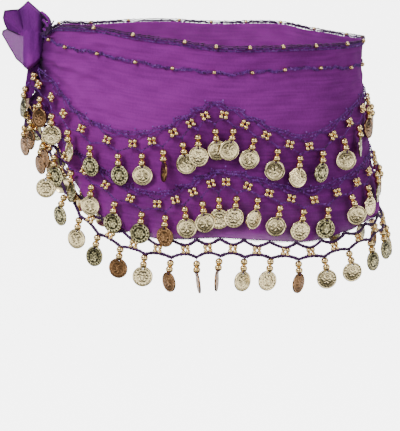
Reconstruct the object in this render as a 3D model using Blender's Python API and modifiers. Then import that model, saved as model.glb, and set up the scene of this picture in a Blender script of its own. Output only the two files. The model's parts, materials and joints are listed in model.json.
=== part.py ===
"""Belly dance hip scarf, worn: one chiffon panel round the hips, its ends tied at the wearer's
right hip, with crocheted edging and three swagged nets of bead clusters and coin drops.

Metres, +Z up. The origin is the middle of the waist opening. -X is the knot, -Y the front.
A turn is an angle round the hips in degrees: 0 at the knot, 90 at the front, 180 at the
wearer's left hip and 270 at the back. A drop is a distance straight down."""

import math
from collections import namedtuple

import bmesh
import bpy
import numpy as np
from mathutils import Vector

MM = 0.001
NAME = "hip_scarf"

# The hips: half-widths of the cloth's outer side at heights from the waist opening.
Girth = namedtuple("Girth", "height half_width")
GIRTHS = (
    Girth(-270, 195),
    Girth(-185, 184),
    Girth(-150, 178),
    Girth(-115, 172),
    Girth(-63, 166),
    Girth(-30, 162.5),
    Girth(0, 164),
    Girth(40, 166),
)
DEPTH_SHARE = 0.725  # half-depth over half-width
ROUNDNESS = 2.2  # exponent of the hips' oval; 2 is an ellipse

# The top edge: how far it lies above the waist opening.
TopEdge = namedtuple("TopEdge", "turn lift")
TOP_EDGE = (
    TopEdge(0, 7),
    TopEdge(20, 12.5),
    TopEdge(38, 15.5),
    TopEdge(52, 16),
    TopEdge(67, 11),
    TopEdge(82, 6),
    TopEdge(94, 0),
    TopEdge(120, -1),
    TopEdge(150, -3),
    TopEdge(180, -5),
    TopEdge(206, -7.5),
    TopEdge(228, -5),
    TopEdge(243, 0),
    TopEdge(268, -1),
    TopEdge(284, 2),
    TopEdge(317, 2),
    TopEdge(340, 7),
    TopEdge(360, 7),
)

# The sewn lines of half the panel, from an end to its middle: drops below the top edge.
Lines = namedtuple("Lines", "turn second tier_1 tier_2 hem")
LINES = (
    Lines(0, 8, 32, 52, 70),
    Lines(12, 13, 45, 72, 88),
    Lines(28, 18, 64, 104, 118),
    Lines(40, 21, 83, 122, 147.5),
    Lines(52, 24, 94.5, 135, 177),
    Lines(64, 25, 97, 147.5, 192.5),
    Lines(76, 26, 88, 152, 196.5),
    Lines(84, 26, 72, 141.5, 194),
    Lines(92, 24, 54.5, 122.5, 188),
    Lines(100, 24, 62.5, 124, 188.5),
    Lines(110, 22, 78, 134.5, 191.5),
    Lines(122, 21, 88.5, 142, 194),
    Lines(134, 21, 81, 137, 189.5),
    Lines(148, 23, 66.5, 128.5, 183.5),
    Lines(164, 23, 54, 118, 179),
    Lines(180, 23, 51, 112, 179),
)

# The panel
CLOTH = 1.2 * MM  # thickness of the wall
END_TURN = 5.0  # where each end meets the knot
PANEL_COLUMNS = 56
PANEL_ROWS = 12
END_PULL = 7 * MM  # how far the knot holds the ends off the hip
END_FLARE = 0.14  # how much further for each unit of height below the waist opening
END_FLARE_REACH = 80 * MM
END_PULL_TURNS = 17.0
GATHER = 3.2 * MM  # height of the gathers at the knot
GATHER_TURNS = 36.0
GATHER_FADE = 1.5  # exponent of their fading
GATHERS = 3

# The crocheted edging
TRIM_HEIGHT = 3.0 * MM
TRIM_THICK = 1.4 * MM
TRIM_GAP = 0.7 * MM
TRIM_STAND = 1.2 * MM  # how far the edging stands above the top edge

# The nets, each with its coin drops and the turn of the first and last from the knot.
Net = namedtuple("Net", "name line drops start")
NETS = (
    Net("coin_tier_1", "tier_1", 40, 10),
    Net("coin_tier_2", "tier_2", 40, 14),
    Net("coin_tier_hem", "hem", 38, 9),
)
NET_STEPS = 720  # places at which a net's line is measured
PEAK_TURN = 91.0  # where the swags rise to a peak, and the drops crowd together
PEAK_SPREAD = 18.0
PEAK_CROWDING = 0.45
TANGENT_TURN = 1.0  # turn over which a way across the hips is taken
HEADER_HEIGHT = 2.4 * MM
HEADER_OFF = 2.0 * MM  # middle of the header's thickness to the panel
CORD = 1.1 * MM  # half-width of a crocheted cord
CORD_THICK = 1.6 * MM
LOOP_TOP = 2.8 * MM
CLUSTER_DROP = 10 * MM
CLUSTER_HALF = 4.0 * MM
CLUSTER_THICK = 3.6 * MM
JOINT_DROP = 15.8 * MM
HANG_OVER = 20 * MM  # drop over which a drop swings out to its full stand-off

Section = namedtuple("Section", "drop half_width thick")
STRAND = (
    Section(17.8, 1.1, 1.6),  # cord
    Section(21.4, 3.1, 5.6),  # upper bead
    Section(24.5, 1.3, 2.0),  # thread
    Section(27.5, 3.1, 5.6),  # lower bead
    Section(30.2, 1.2, 1.4),  # coin's loop
)
COIN_DROP = 40.2 * MM
COIN_RADIUS = 10.2 * MM
COIN_THICK = 1.4 * MM
COIN_SIDES = 6  # corners of a coin besides those of its loop
COIN_TURNS = (0, 11, -7, 12, -11)  # degrees that the coins turn from the cloth, in order

# How far the coins of a net hang out from the panel, and how much more where the nets lie
# over each other near the knot.
OUT = {"tier_1": 5.0 * MM, "tier_2": 6.0 * MM, "hem": 3.5 * MM}
Over = namedtuple("Over", "turn tier_1 tier_2 hem")
OVERS = (
    Over(0, 14.5, 5.5, 0),
    Over(14, 14.5, 5.5, 0),
    Over(28, 10.5, 4, 0),
    Over(44, 6.5, 2.5, 0),
    Over(56, 5, 1.5, 0),
    Over(68, 0.5, 0.5, 0),
    Over(84, 0, 0, 0),
    Over(180, 0, 0, 0),
)

# The knot and the tie ends
KNOT_SIZE = (12.5 * MM, 12.3 * MM, 20 * MM)
KNOT_CENTRE = (-172.5 * MM, 0.0, -13 * MM)
KNOT_SEGMENTS, KNOT_RINGS = 14, 9
KNOT_WRAP = 1.6 * MM  # height of the turn of cloth across the knot
KNOT_WRAP_SLOPE = 0.45
KNOT_WRAP_WIDTH = 0.35  # share of the knot's half-size
TIE_ROOT = (-178 * MM, -12.1 * MM, -4 * MM)
TIE_LAP = 2 * MM  # the upper tie end lies in front of the lower
TIE_THICK = 1.4 * MM
TIE_START = 5 * MM
TIE_RINGS = 4

# A tie end is a fan of folds from the knot: where each fold ends, seen from the front, and how
# far its end comes forward.
Fold = namedtuple("Fold", "across rise forward")
TIE_UP = (
    Fold(-173, 17, -5),
    Fold(-175, 22, 4),
    Fold(-182, 29.5, 10),
    Fold(-187, 35, 5),
    Fold(-196, 27, 13),
    Fold(-211, 25, 5),
    Fold(-212, 13, 12),
    Fold(-209.5, 4.5, 11),
)
TIE_DOWN = (
    Fold(-212, 6, 2),
    Fold(-214, 0, -3),
    Fold(-207, -12, 8),
    Fold(-200, -24.5, 7),
    Fold(-191, -32, 14),
    Fold(-186, -35, 6),
    Fold(-177, -26, 4),
    Fold(-175, -13, 1),
)
TIE_BULGE = 7 * MM  # how far the middle of a fold bows forward
TIE_SWEEP = 1.5  # exponent of its end's way forward

FABRIC = (0.25, 0.05, 0.28, 1)
THREAD = (0.07, 0.02, 0.13, 1)
GOLD = (0.58, 0.45, 0.22, 1)


def along(rows, turn, column):
    """A table's column at a turn or a height, on a smooth curve through the rows."""
    at = [row[0] for row in rows]
    value = [getattr(row, column) for row in rows]
    k = int(np.clip(np.searchsorted(at, turn) - 1, 0, len(at) - 2))

    def slope(i):
        low, high = max(i - 1, 0), min(i + 1, len(at) - 1)
        return (value[high] - value[low]) / (at[high] - at[low])

    span = at[k + 1] - at[k]
    u = min(max((turn - at[k]) / span, 0), 1)
    start, end = slope(k) * span, slope(k + 1) * span
    return (
        value[k] * (1 + 2 * u) * (1 - u) ** 2
        + value[k + 1] * u**2 * (3 - 2 * u)
        + start * u * (1 - u) ** 2
        - end * u**2 * (1 - u)
    )


def from_knot(turn):
    """The turn to the nearer end of the panel, from 0 at the knot to 180."""
    return turn if turn <= 180 else 360 - turn


def ease(share):
    share = min(max(share, 0), 1)
    return share * share * (3 - 2 * share)


def top(turn):
    return along(TOP_EDGE, turn, "lift") * MM


def drop_of(line, turn):
    return along(LINES, from_knot(turn), line) * MM


def hips(turn, height, off=0.0):
    """A point off the outer side of the panel at a turn and a height."""
    width = along(GIRTHS, height / MM, "half_width") * MM
    held = END_PULL - END_FLARE * max(height, -END_FLARE_REACH)
    pull = held * (1 - ease((from_knot(turn) - END_TURN) / END_PULL_TURNS))
    c, s = math.cos(math.radians(turn)), math.sin(math.radians(turn))
    power = 2 / ROUNDNESS
    x = -(width + pull + off) * math.copysign(abs(c) ** power, c)
    y = -(width * DEPTH_SHARE + off) * math.copysign(abs(s) ** power, s)
    return Vector((x, y, height))


def gather_height(turn):
    """How far the gathers stand out at a turn."""
    return GATHER * max(0, 1 - (from_knot(turn) - END_TURN) / GATHER_TURNS) ** GATHER_FADE


def gather(turn, share):
    """How far the panel stands out at a share of its height."""
    return gather_height(turn) * (1 + math.cos(math.tau * GATHERS * share)) / 2


def on_panel(turn, drop, off=0.0):
    """A point off the panel, its gathers followed."""
    share = drop / drop_of("hem", turn)
    return hips(turn, top(turn) - drop, off + gather(turn, share))


def panel_turns():
    return np.linspace(END_TURN, 360 - END_TURN, PANEL_COLUMNS + 1)


def material(name, colour, roughness, metallic=0.0):
    made = bpy.data.materials.get(name) or bpy.data.materials.new(name)
    made.use_nodes = True
    shader = made.node_tree.nodes["Principled BSDF"]
    shader.inputs["Base Color"].default_value = colour
    shader.inputs["Roughness"].default_value = roughness
    shader.inputs["Metallic"].default_value = metallic
    return made


def add_object(name, bm, finish):
    mesh = bpy.data.meshes.new(name)
    bm.to_mesh(mesh)
    bm.free()
    mesh.materials.append(finish)
    made = bpy.data.objects.new(name, mesh)
    collection.objects.link(made)
    return made


def thicken(made, thickness, offset):
    wall = made.modifiers.new("wall", "SOLIDIFY")
    wall.thickness = thickness
    wall.offset = offset
    return wall


def add_sheet(name, rows, finish):
    """An open sheet of quads between rows of points, its faces turned out of the hips."""
    bm = bmesh.new()
    lines = [[bm.verts.new(point) for point in row] for row in rows]
    for upper, lower in zip(lines, lines[1:]):
        for k in range(len(upper) - 1):
            bm.faces.new((upper[k], lower[k], lower[k + 1], upper[k + 1]))
    return add_object(name, bm, finish)


def add_wrap(finish):
    """The panel, from one end of the knot round the hips to the other."""
    rows = []
    for share in np.linspace(0, 1, PANEL_ROWS + 1):
        rows.append([on_panel(t, share * drop_of("hem", t)) for t in panel_turns()])
    wall = thicken(add_sheet("wrap", rows, finish), CLOTH, -1)
    wall.use_even_offset = True


def add_trim(name, line, rise, finish):
    """A row of crocheted chain that follows a line of the panel."""
    rows = []
    for edge in (-TRIM_HEIGHT / 2, TRIM_HEIGHT / 2):
        row = []
        for t in panel_turns()[1:-1]:
            drop = drop_of(line, t) if line else 0
            row.append(on_panel(t, drop + edge - rise, TRIM_GAP))
        rows.append(row)
    thicken(add_sheet(name, rows, finish), TRIM_THICK, 1)


class NetMesh:
    """A flat pattern of cords, clusters and drops laid round the hips, one thickness for each
    point, which Solidify makes a closed body."""

    def __init__(self, net):
        self.line = net.line
        self.drops = net.drops
        self.bm = bmesh.new()
        self.thick = []
        turns = np.linspace(net.start, 360 - net.start, NET_STEPS)
        points = np.array([hips(t, self.height(t)) for t in turns])
        steps = np.linalg.norm(np.diff(points, axis=0), axis=1)
        near = np.array([from_knot(t) for t in (turns[1:] + turns[:-1]) / 2])
        steps *= 1 + PEAK_CROWDING * np.exp(-(((near - PEAK_TURN) / PEAK_SPREAD) ** 2))
        self.turns = turns
        self.places = np.concatenate(([0], np.cumsum(steps))) / steps.sum() * (net.drops - 1)

    def height(self, turn):
        return top(turn) - drop_of(self.line, turn)

    def turn_at(self, place):
        """The turn at a place along the line, counted in drops."""
        return float(np.interp(place, self.places, self.turns))

    def stand_off(self, turn, drop):
        swing = OUT[self.line] + along(OVERS, from_knot(turn), self.line) * MM
        return HEADER_OFF + gather_height(turn) + swing * ease(drop / HANG_OVER)

    def frame(self, turn, drop):
        """The point a drop below the line, and the ways across, up and out there."""
        height = self.height(turn) - drop
        off = self.stand_off(turn, drop)
        point = hips(turn, height, off)
        before = hips(turn - TANGENT_TURN, height, off)
        across = (hips(turn + TANGENT_TURN, height, off) - before).normalized()
        up = (hips(turn, height + MM, off) - hips(turn, height - MM, off)).normalized()
        return point, across, up, up.cross(across)

    def vertex(self, point, thick):
        self.thick.append(thick)
        return self.bm.verts.new(point)

    def beside(self, turn, drop, aside, thick=CORD_THICK):
        point, across, _, _ = self.frame(turn, drop)
        return self.vertex(point + across * aside, thick)

    def face(self, *corners):
        self.bm.faces.new(corners)

    def add_root(self, place):
        """Where the cords leave the header: the header's corners and the loop's top."""
        turn = self.turn_at(place)
        half = HEADER_HEIGHT / 2
        left_top = self.beside(turn, -half, -CORD)
        right_top = self.beside(turn, -half, CORD)
        left = self.beside(turn, half, -CORD)
        right = self.beside(turn, half, CORD)
        low = self.beside(turn, LOOP_TOP, 0)
        self.face(left_top, left, right, right_top)
        self.face(left, low, right)
        return left_top, left, low, right, right_top

    def add_cluster(self, place):
        """The four-bead cluster, a square that stands on its corner."""
        turn = self.turn_at(place)
        high = self.beside(turn, CLUSTER_DROP - CLUSTER_HALF, 0, CLUSTER_THICK)
        low = self.beside(turn, CLUSTER_DROP + CLUSTER_HALF, 0, CLUSTER_THICK)
        left = self.beside(turn, CLUSTER_DROP, -CLUSTER_HALF, CLUSTER_THICK)
        right = self.beside(turn, CLUSTER_DROP, CLUSTER_HALF, CLUSTER_THICK)
        self.face(high, left, low, right)
        return high, left, low, right

    def add_drop(self, place, lean):
        """The joint of the lower cords, two beads and a coin."""
        turn = self.turn_at(place)
        joint = self.beside(turn, JOINT_DROP, 0)
        before = None
        for section in STRAND:
            drop, half, thick = (value * MM for value in section)
            pair = [self.beside(turn, drop, side * half, thick) for side in (-1, 1)]
            if before:
                self.face(before[0], pair[0], pair[1], before[1])
            else:
                self.face(joint, pair[0], pair[1])
                first = pair
            before = pair
        self.add_coin(turn, lean, before)
        return joint, first[0], first[1]

    def add_coin(self, turn, lean, loop):
        centre, across, up, out = self.frame(turn, COIN_DROP)
        flat = across * math.cos(lean) + out * math.sin(lean)
        rim = []
        for k in range(1, COIN_SIDES + 1):
            angle = math.tau * k / (COIN_SIDES + 1)
            place = up * math.cos(angle) - flat * math.sin(angle)
            rim.append(self.vertex(centre + place * COIN_RADIUS, COIN_THICK))
        self.face(loop[0], *rim, loop[1])

    def build(self):
        roots = [self.add_root(k) for k in range(self.drops)]
        drops = []
        for k in range(self.drops):
            lean = math.radians(COIN_TURNS[k % len(COIN_TURNS)])
            drops.append(self.add_drop(k, lean))
        for k in range(self.drops - 1):
            high, left, low, right = self.add_cluster(k + 0.5)
            root, after = roots[k], roots[k + 1]
            self.face(root[4], root[3], after[1], after[0])
            self.face(root[3], root[2], left, high)
            self.face(high, right, after[2], after[1])
            self.face(left, drops[k][0], drops[k][2], low)
            self.face(right, low, drops[k + 1][1], drops[k + 1][0])
        return self.bm


def add_net(net, finish):
    """A net as one body, its thickness taken point by point from a vertex group."""
    pattern = NetMesh(net)
    made = add_object(net.name, pattern.build(), finish)
    most = max(pattern.thick)
    group = made.vertex_groups.new(name="thickness")
    for k, value in enumerate(pattern.thick):
        group.add([k], value / most, "REPLACE")
    wall = thicken(made, most, 0)
    wall.vertex_group = group.name


def add_knot(finish):
    """The tied lump of cloth, with one turn of cloth across it."""
    bpy.ops.mesh.primitive_uv_sphere_add(
        segments=KNOT_SEGMENTS, ring_count=KNOT_RINGS, radius=1, location=(0, 0, 0)
    )
    made = bpy.context.object
    made.name = made.data.name = "knot"
    for vertex in made.data.vertices:
        way = vertex.co.copy()
        band = math.exp(-(((way.z + KNOT_WRAP_SLOPE * way.x) / KNOT_WRAP_WIDTH) ** 2))
        size = [half + KNOT_WRAP * (band - 1) for half in KNOT_SIZE]
        vertex.co = Vector(way[k] * size[k] for k in range(3)) + Vector(KNOT_CENTRE)
    for other in made.users_collection:
        other.objects.unlink(made)
    collection.objects.link(made)
    made.data.materials.append(finish)


def add_tie(name, folds, lap, finish):
    """A tie end: a fan of folds that spreads from the knot."""
    root = Vector(TIE_ROOT) - Vector((0, lap, 0))
    rows = []
    for ring in range(TIE_RINGS + 1):
        share = ring / TIE_RINGS
        row = []
        for fold in folds:
            end = Vector((fold.across * MM, root.y, fold.rise * MM))
            reach = (end - root).length - TIE_START
            forward = fold.forward * MM * share**TIE_SWEEP + TIE_BULGE * math.sin(math.pi * share)
            way = (end - root).normalized()
            row.append(root + way * (TIE_START + reach * share) - Vector((0, forward, 0)))
        rows.append(row)
    thicken(add_sheet(name, rows, finish), TIE_THICK, 0)


def build():
    fabric = material("purple_chiffon", FABRIC, 0.75)
    thread = material("crochet_thread", THREAD, 0.9)
    gold = material("gold_tone_metal", GOLD, 0.35, 0.9)
    add_wrap(fabric)
    add_knot(fabric)
    add_tie("tail_up", TIE_UP, TIE_LAP, fabric)
    add_tie("tail_down", TIE_DOWN, 0, fabric)
    add_trim("trim_top", None, TRIM_STAND, thread)
    add_trim("trim_second", "second", 0, thread)
    for net in NETS:
        add_net(net, gold)
    bpy.context.view_layer.update()


for old in list(bpy.data.objects):
    bpy.data.objects.remove(old, do_unlink=True)
collection = bpy.data.collections.new(NAME)
bpy.context.scene.collection.children.link(collection)
build()
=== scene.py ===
import math
import json
import random

import bpy
import bmesh
import numpy as np
from mathutils import Matrix, Vector

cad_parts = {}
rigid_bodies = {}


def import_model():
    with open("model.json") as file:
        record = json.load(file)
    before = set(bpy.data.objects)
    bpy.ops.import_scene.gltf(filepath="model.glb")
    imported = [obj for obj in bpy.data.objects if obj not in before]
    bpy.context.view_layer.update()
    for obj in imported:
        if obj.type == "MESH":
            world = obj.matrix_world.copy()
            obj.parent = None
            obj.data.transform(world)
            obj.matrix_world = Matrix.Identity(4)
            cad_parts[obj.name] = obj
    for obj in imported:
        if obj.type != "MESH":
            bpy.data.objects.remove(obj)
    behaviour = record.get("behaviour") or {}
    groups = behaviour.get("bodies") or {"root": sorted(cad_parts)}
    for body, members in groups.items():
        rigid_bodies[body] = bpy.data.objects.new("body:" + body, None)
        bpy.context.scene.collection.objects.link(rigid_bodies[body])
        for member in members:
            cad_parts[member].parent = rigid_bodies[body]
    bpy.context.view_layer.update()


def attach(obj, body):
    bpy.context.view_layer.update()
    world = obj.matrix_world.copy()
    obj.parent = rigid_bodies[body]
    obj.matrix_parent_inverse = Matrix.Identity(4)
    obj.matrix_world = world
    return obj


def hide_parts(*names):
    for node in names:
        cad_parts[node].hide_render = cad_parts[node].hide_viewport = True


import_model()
mm = 0.001
print("stage: CAD loaded")

# the camera looks at the front, the knot at its left, from a little above
cameraPlace = {"location": (-0.0063, -1.987, 0.226), "lookingDown": 11.906, "lens": 159.0, "sensor": 36.0}
cameraData = bpy.data.cameras.new("camera")
cameraData.lens = cameraPlace["lens"]
cameraData.sensor_width = cameraPlace["sensor"]
cameraData.dof.use_dof = False
cameraObject = bpy.data.objects.new("camera", cameraData)
cameraObject.location = cameraPlace["location"]
cameraObject.rotation_euler = (math.radians(90 - cameraPlace["lookingDown"]), 0, 0)
bpy.context.scene.collection.objects.link(cameraObject)
bpy.context.scene.camera = cameraObject
print("stage: camera placed")

# the hips' form, in mm and in degrees round the hips: 0 at the knot, 90 at the front
hipForm = {
    "depthShare": 0.725,
    "roundness": 2.2,
    "endTurn": 5.0,
    "endPull": 7.0,
    "endFlare": 0.14,
    "endFlareReach": 80.0,
    "endPullTurns": 17.0,
    "gather": 3.2,
    "gatherTurns": 36.0,
    "gatherFade": 1.5,
    "gathers": 3,
    "cornerDip": 0.9,
    "cornerTurns": 21.0,
    # height, half-width
    "girths": (
        (-270, 195), (-185, 184), (-150, 178), (-115, 172), (-63, 166), (-30, 162.5), (0, 164), (40, 166),
    ),
    # turn, lift of the top edge
    "topEdge": (
        (0, 7), (20, 12.5), (38, 15.5), (52, 16), (67, 11), (82, 6), (94, 0), (120, -1), (150, -3),
        (180, -5), (206, -7.5), (228, -5), (243, 0), (268, -1), (284, 2), (317, 2), (340, 7), (360, 7),
    ),
    # turn, then how far the second row, the two tiers and the hem lie below the top edge
    "lines": (
        (0, 6, 32, 52, 70),
        (12, 9.5, 45, 72, 88),
        (28, 18, 64, 104, 118),
        (40, 21, 83, 122, 147.5),
        (52, 24, 94.5, 135, 177),
        (64, 25, 97, 147.5, 192.5),
        (76, 26, 88, 152, 196.5),
        (84, 26, 72, 141.5, 194),
        (92, 24, 54.5, 122.5, 188),
        (100, 24, 62.5, 124, 188.5),
        (110, 22, 78, 134.5, 191.5),
        (122, 21, 88.5, 142, 194),
        (134, 21, 81, 137, 189.5),
        (148, 23, 66.5, 128.5, 183.5),
        (164, 23, 54, 118, 179),
        (180, 23, 51, 112, 179),
    ),
}
lineColumn = {"second": 1, "tier1": 2, "tier2": 3, "hem": 4}


def along(rows, at, column=1):
    table = np.array(rows, dtype=float)
    place, value = table[:, 0], table[:, column]
    at = np.asarray(at, dtype=float)
    k = np.clip(np.searchsorted(place, at) - 1, 0, len(place) - 2)
    low = np.maximum(np.arange(len(place)) - 1, 0)
    high = np.minimum(np.arange(len(place)) + 1, len(place) - 1)
    slope = (value[high] - value[low]) / (place[high] - place[low])
    span = place[k + 1] - place[k]
    part = np.clip((at - place[k]) / span, 0, 1)
    ends = value[k] * (1 + 2 * part) * (1 - part) ** 2 + value[k + 1] * part**2 * (3 - 2 * part)
    return ends + slope[k] * span * part * (1 - part) ** 2 - slope[k + 1] * span * part**2 * (1 - part)


def fromKnot(turn):
    return np.minimum(turn, 360 - np.asarray(turn, dtype=float))


def ease(share):
    share = np.clip(share, 0, 1)
    return share * share * (3 - 2 * share)


def topHeight(turn):
    return along(hipForm["topEdge"], turn) * mm


def dropOf(line, turn):
    return along(hipForm["lines"], fromKnot(turn), lineColumn[line]) * mm


def hipPoint(turn, height, off=0.0):
    turn, height, off = np.broadcast_arrays(np.asarray(turn, float), height, off)
    width = along(hipForm["girths"], height / mm) * mm
    held = ease((fromKnot(turn) - hipForm["endTurn"]) / hipForm["endPullTurns"])
    flare = hipForm["endFlare"] * np.maximum(height, -hipForm["endFlareReach"] * mm)
    pull = (hipForm["endPull"] * mm - flare) * (1 - held)
    cosine, sine = np.cos(np.radians(turn)), np.sin(np.radians(turn))
    power = 2 / hipForm["roundness"]
    x = -(width + pull + off) * np.sign(cosine) * np.abs(cosine) ** power
    y = -(width * hipForm["depthShare"] + off) * np.sign(sine) * np.abs(sine) ** power
    return np.stack([x, y, height], axis=-1)


def gatherHeight(turn):
    near = np.maximum(0, 1 - (fromKnot(turn) - hipForm["endTurn"]) / hipForm["gatherTurns"])
    return hipForm["gather"] * mm * near ** hipForm["gatherFade"]


# the top corners dip towards the second row, where both rows run into the knot
def cornerDip(turn, drop):
    near = 1 - ease((fromKnot(turn) - hipForm["endTurn"]) / hipForm["cornerTurns"])
    return hipForm["cornerDip"] * near * np.maximum(0, dropOf("second", turn) - drop)


def panelPoint(turn, drop, off=0.0):
    share = drop / dropOf("hem", turn)
    stand = gatherHeight(turn) * (1 + np.cos(math.tau * hipForm["gathers"] * share)) / 2
    return hipPoint(turn, topHeight(turn) - drop - cornerDip(turn, drop), off + stand)


def unit(vectors):
    return vectors / np.maximum(np.linalg.norm(vectors, axis=-1, keepdims=True), 1e-12)


def outward(turn, height):
    across = hipPoint(turn + 0.5, height) - hipPoint(turn - 0.5, height)
    rise = hipPoint(turn, height + mm) - hipPoint(turn, height - mm)
    return unit(np.cross(rise, across))


def linear(code):
    parts = [int(code[i : i + 2], 16) / 255 for i in (1, 3, 5)]
    return tuple(p / 12.92 if p <= 0.04045 else ((p + 0.055) / 1.055) ** 2.4 for p in parts) + (1.0,)


def addNode(tree, kind, inputs=None, **settings):
    node = tree.nodes.new(kind)
    for key, value in settings.items():
        setattr(node, key, value)
    for key, value in (inputs or {}).items():
        if isinstance(key, int):
            socket = node.inputs[key]
        else:
            socket = next(s for s in node.inputs if s.enabled and s.name == key)
        if isinstance(value, bpy.types.Node):
            value = next(s for s in value.outputs if s.enabled)
        if isinstance(value, bpy.types.NodeSocket):
            tree.links.new(value, socket)
        else:
            socket.default_value = value
    return node


def newMaterial(name, **constants):
    made = bpy.data.materials.new(name)
    made.use_nodes = True
    shader = made.node_tree.nodes["Principled BSDF"]
    for key, value in constants.items():
        shader.inputs[key.replace("_", " ")].default_value = value
    return made, made.node_tree, shader


# the numbers that take a value from one range to another
def fromTo(value, fromLow, fromHigh, toLow, toHigh):
    return {"Value": value, "From Min": fromLow, "From Max": fromHigh, "To Min": toLow, "To Max": toHigh}


# a colour ramp's stops; the first two given are its ends
def setStops(ramp, stops):
    for k, (place, colour) in enumerate(stops):
        stop = ramp.color_ramp.elements[k] if k < 2 else ramp.color_ramp.elements.new(place)
        stop.position, stop.color = place, colour
    return ramp.outputs["Color"]


# polyester chiffon: fine, dull and crimped, so it takes light softly and shows its dye more than its sheen
chiffonForm = {
    "sheenTint": "#B26FD0",
    # size in mm, detail, stretch, how far it lightens and deepens the dye; along the streaks this is painted
    # crease highlight and shade
    "patterns": {
        "cloud": (80, 2, (1, 1, 1), -0.08, 0.1),  # uneven dyeing, a hand's breadth across
        "streakAndShade": (3.0, 3, (0.06, 1, 1), -0.07, 0.09),  # creases along the weft, 3 mm apart, 50 mm long
        "grain": (1.3, 3, (1, 1, 0.5), -0.03, 0.04),  # the crimp of the weave, drawn coarse enough to show
    },
    # strength, and depth in mm
    "creaseRelief": (0.5, 0.8),
    "grainRelief": (0.2, 0.2),
    # dyes at 0, at 1 and between, the deep end standing in for painted shade where the cloth gathers; then
    # how solid the weave is where it is open and where it is close
    "kinds": {
        "purpleChiffon": (((0, "#962E9C"), (1, "#2C0834"), (0.5, "#62146C")), 0.95, 0.985),
        "foldedPurpleChiffon": (((0, "#9E32AC"), (1, "#260634"), (0.5, "#621476")), 0.95, 1.0),
    },
}


# dyed from pale to deep, the deep end also painted shade where it gathers, streaked along its weft with
# painted crease shade and highlight, see-through by its open weave
def makeChiffon(name, dyeAndShadeStops, clear, full):
    form, constants = chiffonForm, {"Sheen_Weight": 0.1, "Sheen_Roughness": 0.4, "Specular_IOR_Level": 0.2}
    made, tree, shader = newMaterial(name, Roughness=0.8, **constants)
    shader.inputs["Sheen Tint"].default_value = linear(form["sheenTint"])
    places = addNode(tree, "ShaderNodeTexCoord").outputs["Object"]
    weft = addNode(tree, "ShaderNodeAttribute", attribute_name="weft").outputs["Vector"]
    layers = addNode(tree, "ShaderNodeAttribute", attribute_name="layers").outputs["Fac"]
    # this attribute carries the cloth's tone together with painted shade and painted light
    depth = addNode(tree, "ShaderNodeAttribute", attribute_name="dye").outputs["Fac"]
    patterns = {}
    for key, (size, detail, stretch, low, high) in form["patterns"].items():
        coords = {"Vector": weft if key == "streakAndShade" else places, "Scale": stretch}
        stretched = addNode(tree, "ShaderNodeMapping", coords)
        numbers = {"Vector": stretched, "Scale": 1000 / size, "Detail": detail}
        patterns[key] = addNode(tree, "ShaderNodeTexNoise", numbers)
        # the streaks add painted crease highlight and shade to the colour
        shift = addNode(tree, "ShaderNodeMapRange", fromTo(patterns[key], 0.32, 0.68, low, high))
        depth = addNode(tree, "ShaderNodeMath", {0: depth, 1: shift})
    ramp = addNode(tree, "ShaderNodeValToRGB", {"Fac": depth})
    dyedAndShaded = setStops(ramp, [(place, linear(code)) for place, code in dyeAndShadeStops])
    tree.links.new(dyedAndShaded, shader.inputs["Base Color"])
    weave = addNode(tree, "ShaderNodeMapRange", fromTo(patterns["grain"], 0.3, 0.7, full, clear))
    weave = addNode(tree, "ShaderNodeMath", {0: weave, 1: layers}, operation="MULTIPLY")
    tree.links.new(weave.outputs[0], shader.inputs["Alpha"])
    strength, deep = form["creaseRelief"]
    numbers = {"Height": patterns["streakAndShade"], "Strength": strength, "Distance": deep * mm}
    creased = addNode(tree, "ShaderNodeBump", numbers)
    strength, deep = form["grainRelief"]
    numbers = {"Height": patterns["grain"], "Strength": strength, "Distance": deep * mm, "Normal": creased}
    crimped = addNode(tree, "ShaderNodeBump", numbers)
    tree.links.new(crimped.outputs["Normal"], shader.inputs["Normal"])
    return made


# spun rayon thread: soft fibres with a low shine, each stitch its own shade from plum to lilac at random, the
# lilac stitches standing for painted sheen highlights and the darkest for painted shade between stitches
threadForm = {
    "fibre": 0.5,  # mm, the twist of a thread half a millimetre thick
    "relief": (0.4, 0.2),
    # shades at 0, at 1 and between; the plum thread is a darker copy of the same thread, painted shade for
    # the look it has against the pale background
    "kinds": {
        "purpleCrochetThread": ((0, "#24062E"), (1, "#9660BE"), (0.3, "#56207A"), (0.85, "#7A3AA2")),
        "violetCrochetThread": ((0, "#2A0836"), (1, "#8A4CB4"), (0.35, "#541A72"), (0.85, "#6E2C92")),
        "plumCrochetThread": ((0, "#1A0420"), (1, "#6A3478"), (0.35, "#3A1044"), (0.85, "#4C1A5C")),
    },
}


def makeThread(name, shades):
    form = threadForm
    made, tree, shader = newMaterial(name, Roughness=0.6, Sheen_Weight=0.08, Specular_IOR_Level=0.25)
    shade = addNode(tree, "ShaderNodeAttribute", attribute_name="shade").outputs["Fac"]
    ramp = addNode(tree, "ShaderNodeValToRGB", {"Fac": shade})
    colour = setStops(ramp, [(place, linear(code)) for place, code in shades])
    tree.links.new(colour, shader.inputs["Base Color"])
    places = addNode(tree, "ShaderNodeTexCoord").outputs["Object"]
    numbers = {"Vector": places, "Scale": 1000 / form["fibre"], "Detail": 2}
    fibre = addNode(tree, "ShaderNodeTexNoise", numbers)
    strength, deep = form["relief"]
    numbers = {"Height": fibre, "Strength": strength, "Distance": deep * mm}
    twisted = addNode(tree, "ShaderNodeBump", numbers)
    tree.links.new(twisted.outputs["Normal"], shader.inputs["Normal"])
    return made


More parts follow.
